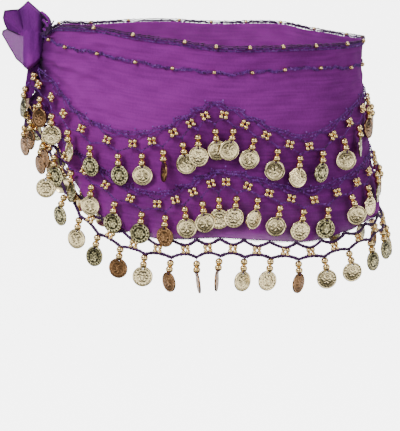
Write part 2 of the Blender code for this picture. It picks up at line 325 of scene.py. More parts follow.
# thin plated metal, stamped or pressed, its polish broken by small dents
metalForm = {
    # size in mm of the wear; of the dents, with their strength, on a stamped coin and on a bead
    "wear": 3.6,
    "coinDents": (2.4, 0.08),
    "beadDents": (0.9, 0.04),
    "dentDepth": 0.5,
    "beadWear": 0.3,
    # bright, dull, roughness when polished, how deeply it is stamped and darkened
    "kinds": {
        "goldToneBead": ("#FBDA98", "#7A4C18", 0.12, 0.0),
        "champagneCoin": ("#FAE6B2", "#6A5A28", 0.17, 0.6),
        "antiqueCoin": ("#CCC292", "#16150A", 0.19, 1.6),
        "copperCoin": ("#A47C56", "#34200C", 0.2, 1.2),
    },
}


# bright on what stands up, dulled in what lies low and in patches of wear
def makeMetal(name, bright, dull, polish, stamped):
    form = metalForm
    made, tree, shader = newMaterial(name, Metallic=1.0)
    places = addNode(tree, "ShaderNodeTexCoord").outputs["Object"]
    wear = addNode(tree, "ShaderNodeTexNoise", {"Vector": places, "Scale": 1000 / form["wear"], "Detail": 3})
    most = 0.5 * stamped if stamped else form["beadWear"]
    worn = addNode(tree, "ShaderNodeMapRange", fromTo(wear, 0.45, 0.65, 0, most))
    if stamped:
        relief = addNode(tree, "ShaderNodeAttribute", attribute_name="relief").outputs["Fac"]
        low = addNode(tree, "ShaderNodeMapRange", fromTo(relief, 0.05, 0.5, min(1.0, 0.6 * stamped), 0))
        worn = addNode(tree, "ShaderNodeMath", {0: worn, 1: low}, operation="MAXIMUM")
    shades = {"Factor": worn, "A": linear(bright), "B": linear(dull)}
    colour = addNode(tree, "ShaderNodeMix", shades, data_type="RGBA")
    tree.links.new(colour.outputs[2], shader.inputs["Base Color"])
    rough = addNode(tree, "ShaderNodeMapRange", fromTo(worn, 0, 1, polish, polish + 0.25))
    tree.links.new(rough.outputs[0], shader.inputs["Roughness"])
    size, strength = form["coinDents"] if stamped else form["beadDents"]
    dents = addNode(tree, "ShaderNodeTexNoise", {"Vector": places, "Scale": 1000 / size, "Detail": 2})
    numbers = {"Height": dents, "Strength": strength, "Distance": form["dentDepth"] * mm}
    dented = addNode(tree, "ShaderNodeBump", numbers)
    tree.links.new(dented.outputs["Normal"], shader.inputs["Normal"])
    return made


chiffon, foldedChiffon = (makeChiffon(name, *kind) for name, kind in chiffonForm["kinds"].items())
crochet, violetThread, shadedCordThread = (makeThread(name, kind) for name, kind in threadForm["kinds"].items())
goldBead, *coinMetals = (makeMetal(name, *kind) for name, kind in metalForm["kinds"].items())
print("stage: materials made")


def addPiece(name, mesh, nodes, material=None):
    mesh.name = name
    made = bpy.data.objects.new(name, mesh)
    bpy.context.scene.collection.objects.link(made)
    if material:
        mesh.materials.clear()
        mesh.materials.append(material)
    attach(made, "root")
    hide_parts(*nodes)
    return made


# the finished shape of an object with modifiers, as a plain mesh
def evaluated(source):
    graph = bpy.context.evaluated_depsgraph_get()
    mesh = bpy.data.meshes.new_from_object(
        source.evaluated_get(graph), preserve_all_data_layers=True, depsgraph=graph
    )
    old = source.data
    bpy.data.objects.remove(source)
    bpy.data.meshes.remove(old)
    return mesh


def smoothed(mesh):
    mesh.polygons.foreach_set("use_smooth", np.ones(len(mesh.polygons), bool))
    return mesh


def gridMesh(name, points, closed=False):
    rows, columns = points.shape[:2]
    mesh = bpy.data.meshes.new(name)
    index = np.arange(rows * columns).reshape(rows, columns)
    if closed:
        index = np.concatenate([index, index[:, :1]], axis=1)
    corners = [index[:-1, :-1], index[1:, :-1], index[1:, 1:], index[:-1, 1:]]
    faces = np.stack([c.ravel() for c in corners], axis=1)
    mesh.from_pydata(points.reshape(-1, 3).tolist(), [], faces.tolist())
    return smoothed(mesh)


def setValues(mesh, name, values, kind="FLOAT"):
    made = mesh.attributes.new(name, kind, "POINT")
    field = "vector" if kind == "FLOAT_VECTOR" else "value"
    made.data.foreach_set(field, np.asarray(values).ravel())


def shell(mesh, thick, offset):
    source = bpy.data.objects.new(mesh.name, mesh)
    bpy.context.scene.collection.objects.link(source)
    wall = source.modifiers.new("wall", "SOLIDIFY")
    wall.thickness = thick
    wall.offset = offset
    return smoothed(evaluated(source))


# the flat size and area of a grid of points, as it is cut
def cutOf(points):
    wide = np.linalg.norm(np.diff(points, axis=1), axis=-1)
    tall = np.linalg.norm(np.diff(points, axis=0), axis=-1)
    area = float(np.sum((wide[:-1] + wide[1:]) / 2 * (tall[:, :-1] + tall[:, 1:]) / 2))
    return (float(wide.sum(axis=1).max()), float(tall.sum(axis=0).max())), area


# the panel of chiffon; a crease is its two ends, its width and height and how far it bows, in mm
clothForm = {
    "columns": 420,
    "rows": 80,
    "thick": 0.5,
    "rowsAtEdges": 0.3,
    "rolledEdge": 0.4,
    "creaseShare": 0.95,
    # length, slant and phase of each slow wave, and their height
    "waves": ((61, 0.3, 0.4), (43, 1.7, 1.1), (29, -0.8, 2.3), (83, 0.15, 4.0)),
    "waveHeight": 0.35,
    # puckers where a row is sewn on: height, spacing, reach and how far the cloth is pulled in
    "pucker": {"height": 0.22, "every": 8.7, "reach": 3.2, "sink": 0.25},
    # pleats that run from the knot: height, how many down the panel, over how many degrees they fade
    "pleats": {"height": 0.7, "count": 8.5, "turns": 30, "fade": 1.3},
    "creases": (
        # turn, drop, turn, drop, width, height, bow
        (7, 12, 36, 19, 2.6, 1.0, 2),
        (7, 20, 48, 31, 3.0, 1.1, -3),
        (8, 27, 56, 47, 3.4, 1.0, 4),
        (9, 34, 66, 60, 3.0, 0.9, -5),
        (10, 40, 46, 74, 3.2, 0.9, -4),
        (55, 46, 82, 43, 4.0, 0.55, 2),
        (57, 58, 88, 55, 4.6, 0.6, -2),
        (45, 70, 83, 57, 5.0, 0.6, 3),
        (53, 81, 77, 73, 4.0, 0.5, -2),
        (38, 40, 58, 37, 3.6, 0.55, 1),
        (84, 36, 104, 44, 4.4, 0.4, 3),
        (108, 52, 133, 43, 4.2, 0.55, -2),
        (98, 71, 120, 63, 4.6, 0.5, 2),
        (118, 38, 144, 36, 3.6, 0.45, 2),
        (128, 58, 160, 40, 4.4, 0.5, -3),
        (60, 112, 92, 96, 5.5, 0.5, 4),
        (102, 100, 134, 112, 5.0, 0.45, -3),
        (72, 134, 98, 116, 4.5, 0.45, 3),
        (46, 108, 70, 128, 4.5, 0.5, -3),
        (140, 84, 172, 70, 5.0, 0.5, 3),
        (150, 110, 182, 96, 5.0, 0.5, -3),
        (353, 13, 322, 20, 2.8, 1.0, 2),
        (352, 22, 308, 34, 3.2, 1.0, -3),
        (351, 30, 300, 52, 3.4, 0.9, 4),
        (350, 38, 316, 72, 3.2, 0.9, -4),
        (306, 62, 276, 50, 4.6, 0.55, 3),
        (298, 84, 268, 70, 4.4, 0.5, -3),
        (276, 44, 250, 40, 4.0, 0.5, 2),
        (262, 66, 236, 76, 4.6, 0.5, -2),
        (244, 50, 214, 40, 4.2, 0.5, 3),
        (300, 122, 272, 110, 5.0, 0.45, 3),
        (252, 112, 222, 124, 5.0, 0.45, -3),
        (228, 92, 200, 78, 4.6, 0.5, 2),
        (210, 120, 184, 108, 4.6, 0.5, -3),
    ),
    # the fine creases between them: upper is the share that lies above the first net
    "fine": {
        "count": 190, "seed": 12, "turns": (12, 340), "upper": 0.7, "topClear": 8, "hemClear": 15,
        "length": (16, 60), "slant": 0.09, "width": (1.3, 2.4), "height": (0.3, 0.75), "bow": 1.5,
    },
    "flutes": (
        # turn, half-width, height, reach up from the hem
        (64, 3.0, 0.8, 36), (76, 2.6, 0.6, 24), (86.5, 2.8, 1.1, 46), (89.5, 2.2, 0.8, 34),
        (95, 2.4, 0.9, 26), (101, 2.2, 0.8, 22), (113, 3.0, 0.6, 28), (127, 3.2, 0.7, 32),
        (141, 3.0, 0.6, 24), (158, 3.4, 0.8, 34), (176, 3.2, 0.6, 28), (197, 3.0, 0.8, 36),
        (214, 2.8, 0.6, 24), (229, 3.2, 0.8, 30), (243, 2.6, 0.6, 26), (259, 3.0, 0.9, 40),
        (268, 2.6, 0.7, 28), (281, 3.0, 0.7, 26), (296, 3.2, 0.8, 34), (309, 2.8, 0.6, 24),
    ),
    # how much deeper the colour is made: painted shade under the nets, a deeper dye all over the front,
    # painted shade at the right, over the pleats near the knot and in the gap beside the knot
    "deeperDyeAndShade": {"nets": 0.13, "front": 0.06, "right": 0.22, "pleats": 0.24, "knot": 0.8, "knotTurns": 8.5},
    # the single layer along the hem: how far up it goes, how much paler it is painted, as painted light
    # coming through it, and how much clearer it is
    "border": {"reach": 9, "paintedLightThrough": 0.45, "clearer": 0.09},
    "hemline": {"reach": 5, "clearer": 0.035},
}


def creaseHeight(weft, drop, place, row):
    turnA, dropA, turnB, dropB, width, height, bow = row
    start = np.array([place(turnA), dropA])
    way = np.array([place(turnB), dropB]) - start
    length = np.hypot(*way)
    way = way / length
    offWeft, offDrop = weft - start[0], drop - start[1]
    share = (offWeft * way[0] + offDrop * way[1]) / length
    aside = offDrop * way[0] - offWeft * way[1] - bow * 4 * share * (1 - share)
    fade = np.where((share > 0) & (share < 1), np.sin(np.pi * np.clip(share, 0, 1)) ** 0.8, 0)
    ridge = np.exp(-((aside / width) ** 2)) - 0.55 * np.exp(-(((aside - 1.7 * width) / width) ** 2))
    return height * fade * ridge


# lengths along the middle of the panel, and where a turn lies on them
class PanelRuler:
    def __init__(self, turns):
        middle = panelPoint(turns, 0.5 * dropOf("hem", turns))
        steps = np.linalg.norm(np.diff(middle, axis=0), axis=1)
        self.turns = turns
        self.lengths = np.concatenate(([0], np.cumsum(steps))) / mm

    def place(self, turn):
        return np.interp(turn, self.turns, self.lengths)

    def turn(self, place):
        return float(np.interp(place, self.lengths, self.turns))


def fineCreases(ruler):
    fine = clothForm["fine"]
    rng = random.Random(fine["seed"])
    for _ in range(fine["count"]):
        start, length = rng.uniform(*fine["turns"]), rng.uniform(*fine["length"])
        end = ruler.turn(ruler.place(start) + length)
        net, hem = float(dropOf("tier1", start)) / mm, float(dropOf("hem", start)) / mm
        upper = rng.random() < fine["upper"]
        level = rng.uniform(fine["topClear"], net) if upper else rng.uniform(net, hem - fine["hemClear"])
        slant = rng.uniform(-fine["slant"], fine["slant"]) * length
        width, height = rng.uniform(*fine["width"]), rng.uniform(*fine["height"])
        yield start, level, end, level + slant, width, height, rng.uniform(-fine["bow"], fine["bow"])


def pleatFade(turn):
    pleats = clothForm["pleats"]
    near = np.maximum(0, 1 - (fromKnot(turn) - hipForm["endTurn"]) / pleats["turns"])
    return near ** pleats["fade"]


# how far the cloth stands off its plain form, in mm; weft is how far along the panel a point lies
def wrapRelief(turn, drop, share, weft, ruler):
    form, down = clothForm, drop / mm
    below = (dropOf("hem", turn) - drop) / mm
    off = np.zeros(turn.shape)
    for row in form["creases"]:
        off += form["creaseShare"] * creaseHeight(weft, down, ruler.place, row)
    for row in fineCreases(ruler):
        off += creaseHeight(weft, down, ruler.place, row)
    for at, half, height, reach in form["flutes"]:
        lean = (weft - ruler.place(at)) / (half * 2.6) - 0.25 * below / reach
        off += height * np.exp(-(lean**2)) * np.exp(-((below / reach) ** 2))
    for length, slant, phase in form["waves"]:
        swell = math.tau * (weft + slant * down) / length + phase + 0.8 * np.sin(down / 31)
        off += form["waveHeight"] * np.sin(swell)
    pucker = form["pucker"]
    for line in ("second", "tier1", "tier2"):
        near = np.exp(-(((drop - dropOf(line, turn)) / mm / pucker["reach"]) ** 2))
        ripple = np.sin(math.tau * weft / pucker["every"] + 2 * np.sin(weft / 37))
        off += near * (pucker["height"] * ripple - pucker["sink"])
    pleats = form["pleats"]
    fold = np.cos(math.tau * (pleats["count"] * share + 0.35 * np.sin(weft / 19)))
    off += pleats["height"] * pleatFade(turn) * fold
    return off + form["rolledEdge"] * (np.exp(-((below / 1.1) ** 2)) + 0.6 * np.exp(-(down**2)))


# how deep the dye looks, with painted shade under the nets, at the right and near the knot and painted light
# through the single layer at the hem, and how much of the weave is closed
def paintWrapDyeAndShade(mesh, turn, drop, weft):
    deeperDyeAndShade, border, hemline = (clothForm[key] for key in ("deeperDyeAndShade", "border", "hemline"))
    below = (dropOf("hem", turn) - drop) / mm
    nets = ease((drop - dropOf("tier1", turn)) / mm / 30 + 0.4) * (1 - ease((turn - 200) / 20))
    right = ease((turn - 60) / 60) * (1 - 0.9 * ease((turn - 215) / 45))
    # painted shade: darker under the nets and towards the right, where less light falls
    deep = deeperDyeAndShade["nets"] * nets + deeperDyeAndShade["front"] * (1 - ease((turn - 200) / 40)) + deeperDyeAndShade["right"] * right
    # painted shade near the knot, deepest in the gap between the knot and the panel
    beside = (fromKnot(turn) - hipForm["endTurn"]) / deeperDyeAndShade["knotTurns"]
    deep = deep + deeperDyeAndShade["pleats"] * pleatFade(turn) + deeperDyeAndShade["knot"] * np.exp(-(beside**2))
    # the single layer at the hem is painted paler, as painted light coming through it, and is made clearer
    single = np.exp(-((below / border["reach"]) ** 2)) * (0.6 + 0.4 * np.sin(weft / 23 + 1.3))
    edge = np.exp(-((below / hemline["reach"]) ** 2))
    setValues(mesh, "dye", np.clip(deep - border["paintedLightThrough"] * single, 0, 1))
    setValues(mesh, "layers", 1 - hemline["clearer"] * edge - border["clearer"] * single)


def makeWrap():
    form = clothForm
    turns = np.linspace(hipForm["endTurn"], 360 - hipForm["endTurn"], form["columns"] + 1)
    steps = np.linspace(0, 1, form["rows"] + 1)
    crowded = 0.5 - 0.5 * np.cos(np.pi * steps)  # closer rows at the top edge and the hem
    turn, share = np.meshgrid(turns, (1 - form["rowsAtEdges"]) * steps + form["rowsAtEdges"] * crowded)
    drop = share * dropOf("hem", turn)
    ruler = PanelRuler(turns)
    weft = np.broadcast_to(ruler.lengths, turn.shape)
    relief = wrapRelief(turn, drop, share, weft, ruler) - 0.1
    mesh = gridMesh("wrapCloth", panelPoint(turn, drop, relief * mm))
    setValues(mesh, "weft", np.stack([weft, drop / mm, 0 * weft], axis=-1) * mm, "FLOAT_VECTOR")
    paintWrapDyeAndShade(mesh, turn, drop, weft)
    size, area = cutOf(panelPoint(turn, drop))
    piece = addPiece("wrapCloth", shell(mesh, form["thick"] * mm, -1), ["wrap"], chiffon)
    print("wrap cut to", [round(s, 3) for s in size], "area", round(area, 4))


# the panel's two ends, in mm: drawn together into the knot, and turned out below it
endForm = {
    "thick": 0.6,
    "drawn": {
        "from": -0.5, "to": -44.0, "across": -173.5, "near": 8.5, "middle": -13.0, "squeeze": 0.5,
        "pleats": 8, "pleatHeight": 1.1, "bulge": 2.2, "slack": 1.25,
    },
    "flap": {
        "from": -29.0, "to": -64.0, "wide": 12.0, "out": 3.5, "sag": 2.0, "toMiddle": 2.5,
        "folds": 2.3, "foldHeight": 0.9, "slackWide": 1.15, "slackTall": 1.03,
    },
}


def addEnd(name, mesh, dye):
    setValues(mesh, "layers", np.ones(dye.shape))
    setValues(mesh, "dye", np.clip(dye, 0, 1))
    cloth = shell(mesh, endForm["thick"] * mm, 0)
    addPiece(name, cloth, ["wrap"], foldedChiffon)


def makeEndGather(name, side):
    form = endForm["drawn"]
    share, level = np.meshgrid(np.linspace(0, 1, 13), np.linspace(0, 1, 61))
    turn = 180 - side * (180 - hipForm["endTurn"] - 0.5)
    height = (form["from"] + (form["to"] - form["from"]) * level) * mm
    wave = (1 + np.cos(math.tau * hipForm["gathers"] * level)) / 2
    start = hipPoint(turn, height, gatherHeight(turn) * wave)
    rise = form["middle"] + form["squeeze"] * (height / mm - form["middle"])
    across, near = np.full(level.shape, form["across"]), np.full(level.shape, -side * form["near"])
    end = np.stack([across, near, rise], axis=-1) * mm
    points = start + (end - start) * share[..., None]
    pleat = np.sin(math.tau * (form["pleats"] * level + 0.25 * np.sin(7 * level)))
    lift = form["pleatHeight"] * pleat * (1 - 0.5 * share) + form["bulge"] * np.sin(np.pi * share)
    points[..., 0] -= lift * mm
    # painted shade: lighter on the pleats' crests, darker in their hollows and towards the knot
    addEnd(name, gridMesh(name, points), 0.62 - 0.25 * pleat + 0.2 * share)


def makeEndFlap(name, side):
    form = endForm["flap"]
    share, level = np.meshgrid(np.linspace(0, 1, 15), np.linspace(0, 1, 25))
    height = (form["from"] + (form["to"] - form["from"]) * level) * mm
    edge = hipPoint(180 - side * (180 - hipForm["endTurn"] - 0.4), height, 0.9 * mm)
    wide = -form["wide"] * share * (1 - 0.25 * level)
    out = np.stack([wide, -side * form["out"] * share, -form["sag"] * share * level], axis=-1)
    wave = math.tau * (form["folds"] * share + 0.3 * level)
    folds = form["foldHeight"] * np.sin(wave) * share
    points = edge + out * mm
    points[..., 1] += side * (folds + form["toMiddle"] * np.sin(np.pi * share / 2)) * mm
    # painted shade: the colour follows the folds, one side of each fold lighter and the other darker
    addEnd(name, gridMesh(name, points), 0.4 + 0.3 * np.cos(wave) * share)


makeWrap()
makeEndGather("endGatherFront", 1)
makeEndGather("endGatherBack", -1)
makeEndFlap("endFlapFront", 1)
makeEndFlap("endFlapBack", -1)
print("stage: panel made")

# the knot, in mm: half-sizes, middle, how far its band stands out, the band's slope and width
knotForm = {
    "half": (12.5, 12.3, 20.0),
    "centre": (-172.5, 0.0, -13.0),
    "wrap": 1.6,
    "slope": 0.45,
    "width": 0.35,
    "foldHeight": 0.55,
    "gatherHeight": 0.7,
    # the knot's colour is made deep as painted shade, where it sits between the ties and the panel
    "dye": 0.85,
    "rings": 36,
    "segments": 56,
}
# the two tie ends, in mm seen from the front; the lower one lies ahead of the upper
tieForm = {
    "face": -13.0,
    "thick": 0.6,
    "rings": 30,
    "perFold": 7,
    "ahead": 0.95,
    # the puffed lobe: middle across, lean, half-width, middle height, half-height, how far it stands forward
    "lobe": {"across": -178.0, "lean": -5.0, "half": 11.3, "height": 0.0, "reach": 40.0, "forward": 12.5},
    # across, rise, forward of the outline, then across, rise of where the fold comes from
    "up": (
        (-168, 4, 3, -170, 0), (-165.5, 9, 4, -171, 0), (-164.2, 12.5, 2.5, -172, 0),
        (-166.3, 14.5, 4.5, -172.5, 0), (-164.6, 18.5, 3, -173, 0), (-168.5, 23.5, 5, -174, 0),
        (-176, 30.5, 6, -176, 0), (-183.8, 37, 4, -179, 0), (-188.5, 32.5, 5.5, -182, 0),
        (-194, 28, 2, -185, 0), (-201, 27.8, 4.5, -187, 0), (-208.5, 26.8, 2, -188, 0),
        (-209.8, 20, 5, -189, 0), (-208.8, 14, 2.5, -190, 0), (-206, 8, 3.5, -191, 0),
    ),
    "down": (
        (-206, 8.2, 5, -189.6, 0), (-210.8, 5.8, 4, -189.3, 1.5), (-211.6, 2.5, 5, -188.5, 4),
        (-208, -4, 3.5, -188, 5), (-204.5, -10.5, 5, -187, 6), (-201, -16.5, 3.5, -186, 7),
        (-197.5, -23, 4.5, -185, 8), (-190, -29.8, 3, -183, 9), (-184.5, -33.8, 6, -181, 10),
        (-177.5, -30, 3.5, -177, 10), (-172, -23, 5, -173, 9), (-169, -14, 3, -171, 8),
        (-167.3, -4, 4.5, -170, 7), (-167, 3, 3, -169.5, 6),
    ),
    # the furrow down the upper tie, and the fine gathers between the folds
    "furrow": {"at": -192.5, "lean": 0.18, "width": 1.6, "depth": 1.5},
    "ripple": 0.35,
    # the single layer at the lower tie's corner: where it starts, how flat it lies, how much clearer it is
    "facetEdge": -189.3,
    "facetFlat": 0.85,
    "facetClear": 0.13,
    # how deep the dye is, with light and shade painted in: more near the knot and on the folds as painted
    # shade, less down the middles and low on the lower tie's middle as a painted highlight, and less at the
    # corner as painted light through the single layer
    "dye": {"plain": 0.34, "nearKnot": 0.6, "folds": 0.1, "middle": 0.12, "corner": 0.36, "lowMiddle": 0.3},
    "rim": 0.7,
    # across and rise of each rolled loop's bends
    "loops": (
        ((-170, 26), (-165, 22.5), (-161.8, 16.5), (-165.5, 11)),
        ((-168.5, 18), (-164.5, 14), (-163.2, 8.5), (-166.5, 4)),
        ((-168, 9), (-164.6, 5), (-165, -1), (-168, -6)),
    ),
    "loop": {
        "radius": 1.9, "behind": 9.0, "bulge": 4.0, "dye": 0.25, "seam": 0.55,
        "seamPlaces": ((1.9, 0.6), (-1.5, 1.1)),  # aside, forward
    },
}


def lobeForward(across, rise, share):
    lobe = tieForm["lobe"]
    level = (rise - lobe["height"]) / lobe["reach"]
    side = (across - lobe["across"] - lobe["lean"] * level**2) / lobe["half"]
    puff = lobe["forward"] * np.sqrt(np.maximum(0, 1 - side**2)) * np.sqrt(np.maximum(0, 1 - level**2))
    return puff * (1 - 0.75 * ease((share - 0.9) / 0.1))


def makeKnot():
    form = knotForm
    lat = np.linspace(0.02, math.pi - 0.02, form["rings"])
    lon = np.linspace(0, math.tau, form["segments"], endpoint=False)
    lat, lon = np.meshgrid(lat, lon, indexing="ij")
    way = np.stack([np.sin(lat) * np.cos(lon), np.sin(lat) * np.sin(lon), np.cos(lat)], axis=-1)
    slant = way[..., 2] + form["slope"] * way[..., 0]
    band = np.exp(-((slant / form["width"]) ** 2))
    fold = form["foldHeight"] * band * np.cos(slant * 17 + 1.2 * np.sin(2 * lon))
    gathers = np.sin(7 * lon + 2.5 * way[..., 2] + 0.6 * np.sin(3 * lon))
    gathers = form["gatherHeight"] * (1 - band) * gathers
    grow = form["wrap"] * (band - 0.35) + (fold + gathers) * np.sin(lat)
    size = np.stack([half + grow for half in form["half"]], axis=-1)
    points = (way * size + np.array(form["centre"])) * mm
    mesh = gridMesh("knotCloth", points[::-1], closed=True)
    bm = bmesh.new()
    bm.from_mesh(mesh)
    bmesh.ops.holes_fill(bm, edges=[e for e in bm.edges if e.is_boundary], sides=0)
    bmesh.ops.recalc_face_normals(bm, faces=bm.faces)
    bm.to_mesh(mesh)
    bm.free()
    setValues(mesh, "layers", np.ones(len(mesh.vertices)))
    setValues(mesh, "dye", np.full(len(mesh.vertices), form["dye"]))
    addPiece("knotCloth", smoothed(mesh), ["knot"], foldedChiffon)


def makeTie(name, node, folds, ahead):
    form, furrow, dye = tieForm, tieForm["furrow"], tieForm["dye"]
    folds = np.array(folds, dtype=float)
    place = np.linspace(0, len(folds) - 1, (len(folds) - 1) * form["perFold"] + 1)
    rows = np.stack([np.interp(place, np.arange(len(folds)), folds[:, k]) for k in range(5)], axis=-1)
    share = np.linspace(0, 1, form["rings"] + 1)[:, None]
    across = rows[:, 3] + (rows[:, 0] - rows[:, 3]) * share
    rise = rows[:, 4] + (rows[:, 1] - rows[:, 4]) * share
    forward = rows[:, 2] * share + ahead + lobeForward(across, rise, share)
    aside = (across - furrow["at"] - furrow["lean"] * (26 - rise)) / furrow["width"]
    valley = np.exp(-(aside**2)) * ease((rise - 4) / 6)
    layers, edge = np.ones(across.shape), np.zeros(across.shape)
    if node == "tail_down":
        edge = ease((form["facetEdge"] - across) / 0.9) * ease((share - 0.03) / 0.1)
        layers = 1 - form["facetClear"] * edge
        forward -= form["facetFlat"] * edge * rows[:, 2] * share
    ripple = np.sin(math.tau * place / 1.9 + 4 * share) * np.sin(np.pi * share) * (1 - edge)
    forward += form["ripple"] * ripple - furrow["depth"] * valley
    points = np.stack([across, form["face"] - forward, rise], axis=-1) * mm
    mesh = gridMesh(name, points)
    setValues(mesh, "layers", layers)
    # painted shade and highlight: darker towards the knot and varying along the folds, lighter down the
    # lobe's middle
    shade = dye["plain"] + dye["nearKnot"] * ease((across + 175) / 7) + dye["folds"] * np.sin(place)
    shade = shade - dye["middle"] * np.exp(-(((across + 184) / 5) ** 2))
    if node == "tail_down":
        # painted light through the single layer at the corner, and a painted highlight low on the lobe
        low = np.exp(-(((across + 182) / 4) ** 2) - ((rise + 24) / 9) ** 2)
        shade = shade - dye["corner"] * edge - dye["lowMiddle"] * low
    setValues(mesh, "dye", np.clip(shade, 0, 1))
    size, area = cutOf(points)
    piece = addPiece(name, shell(mesh, form["thick"] * mm, 0), [node], foldedChiffon)
    print(name, "cut to", [round(s, 3) for s in size], "area", round(area, 4))
    return points


makeKnot()
tieUpPoints = makeTie("tieEndUp", "tail_up", tieForm["up"], 0)
tieDownPoints = makeTie("tieEndDown", "tail_down", tieForm["down"], tieForm["ahead"])
print("stage: knot and ties made")


def newTree(name, sockets):
    tree = bpy.data.node_groups.new(name, "GeometryNodeTree")
    tree.interface.new_socket("Geometry", in_out="INPUT", socket_type="NodeSocketGeometry")
    ids = {}
    for label, kind in sockets:
        socket = tree.interface.new_socket(label, in_out="INPUT", socket_type="NodeSocket" + kind)
        ids[label] = socket.identifier
    tree.interface.new_socket("Geometry", in_out="OUTPUT", socket_type="NodeSocketGeometry")
    return tree, ids, tree.nodes.new("NodeGroupInput").outputs


def endTree(tree, shape):
    addNode(tree, "NodeGroupOutput", {0: shape})


# each stitch or thread keeps a random shade of its own, which the thread's colours turn into painted sheen
# and shade
def addTone(tree, shape, span, seed, domain):
    tone = addNode(tree, "FunctionNodeRandomValue", {2: span[0], 3: span[1], "Seed": seed}, data_type="FLOAT")
    numbers = {"Geometry": shape, "Name": "shade", "Value": tone.outputs[1]}
    return addNode(tree, "GeometryNodeStoreNamedAttribute", numbers, data_type="FLOAT", domain=domain)


def finishThread(tree, shape, given):
    smooth = addNode(tree, "GeometryNodeSetShadeSmooth", {0: shape})
    endTree(tree, addNode(tree, "GeometryNodeSetMaterial", {"Geometry": smooth, "Material": given["Thread"]}))


def grow(name, source, made, values):
    tree, ids = made
    holder = bpy.data.objects.new(name, source)
    bpy.context.scene.collection.objects.link(holder)
    modifier = holder.modifiers.new("nodes", "NODES")
    modifier.node_group = tree
    for label, value in values.items():
        modifier[ids[label]] = value
    mesh = evaluated(holder)
    for label in ("outward", "facing", "upright", "size", "pick"):
        if label in mesh.attributes:
            mesh.attributes.remove(mesh.attributes[label])
    return mesh


# a crochet chain along a path: two leaves of thread a stitch, splayed as a V
def makeChainTree():
    sizes = [(label, "Float") for label in ("Pitch", "Length", "Thick", "Splay")]
    tree, ids, given = newTree("crochetChain", sizes + [("Thread", "Material")])
    curve = addNode(tree, "GeometryNodeMeshToCurve", {"Mesh": given["Geometry"]})
    evenly = {"Curve": curve, "Length": given["Pitch"]}
    even = addNode(tree, "GeometryNodeResampleCurve", evenly, mode="LENGTH")
    ball = addNode(tree, "GeometryNodeMeshIcoSphere", {"Radius": 1.0, "Subdivisions": 1})
    half = addNode(tree, "ShaderNodeMath", {0: given["Length"], 1: 0.5}, operation="MULTIPLY")
    slim = addNode(tree, "ShaderNodeMath", {0: given["Thick"], 1: 0.5}, operation="MULTIPLY")
    size = addNode(tree, "ShaderNodeCombineXYZ", {"X": half, "Y": slim, "Z": slim})
    leaves = tree.nodes.new("GeometryNodeJoinGeometry")
    for side in (-1, 1):
        turned = addNode(tree, "ShaderNodeMath", {0: given["Splay"], 1: side}, operation="MULTIPLY")
        euler = addNode(tree, "ShaderNodeCombineXYZ", {"X": 0.25 * side, "Z": turned})
        rotation = addNode(tree, "FunctionNodeEulerToRotation", {0: euler})
        aside = addNode(tree, "ShaderNodeMath", {0: given["Thick"], 1: 0.62 * side}, operation="MULTIPLY")
        shift = addNode(tree, "ShaderNodeCombineXYZ", {"Y": aside})
        numbers = {"Geometry": ball, "Translation": shift, "Rotation": rotation, "Scale": size}
        leaf = addNode(tree, "GeometryNodeTransform", numbers)
        tree.links.new(leaf.outputs[0], leaves.inputs[0])
    tangent = addNode(tree, "GeometryNodeInputTangent")
    out = addNode(tree, "GeometryNodeInputNamedAttribute", {"Name": "outward"}, data_type="FLOAT_VECTOR")
    ways = {0: tangent, 1: out}
    axes = addNode(tree, "FunctionNodeAxesToRotation", ways, primary_axis="X", secondary_axis="Z")
    most = (0.3, 0.3, 0.25)  # radians a stitch leans at most
    least = tuple(-angle for angle in most)
    lean = {0: least, 1: most, "Seed": 3}
    tumble = addNode(tree, "FunctionNodeRandomValue", lean, data_type="FLOAT_VECTOR")
    tumbled = addNode(tree, "FunctionNodeEulerToRotation", {0: tumble})
    both = {"Rotation": axes, "Rotate By": tumbled}
    rotated = addNode(tree, "FunctionNodeRotateRotation", both, rotation_space="LOCAL")
    vary = addNode(tree, "FunctionNodeRandomValue", {2: 0.85, 3: 1.18, "Seed": 5}, data_type="FLOAT")
    numbers = {"Points": even, "Instance": leaves, "Rotation": rotated, "Scale": vary.outputs[1]}
    stitches = addNode(tree, "GeometryNodeInstanceOnPoints", numbers)
    toned = addTone(tree, stitches, (0.0, 1.0), 11, "INSTANCE")
    finishThread(tree, addNode(tree, "GeometryNodeRealizeInstances", {"Geometry": toned}), given)
    return tree, ids


# a plain twisted thread along a path
def makeTubeTree():
    tree, ids, given = newTree("twistedThread", (("Radius", "Float"), ("Thread", "Material")))
    curve = addNode(tree, "GeometryNodeMeshToCurve", {"Mesh": given["Geometry"]})
    sizes = {"Resolution": 5, "Radius": given["Radius"]}
    ring = addNode(tree, "GeometryNodeCurvePrimitiveCircle", sizes, mode="RADIUS")
    swept = {"Curve": curve, "Profile Curve": ring, "Fill Caps": True}
    tube = addNode(tree, "GeometryNodeCurveToMesh", swept)
    finishThread(tree, addTone(tree, tube, (0.05, 0.8), 17, "POINT"), given)
    return tree, ids


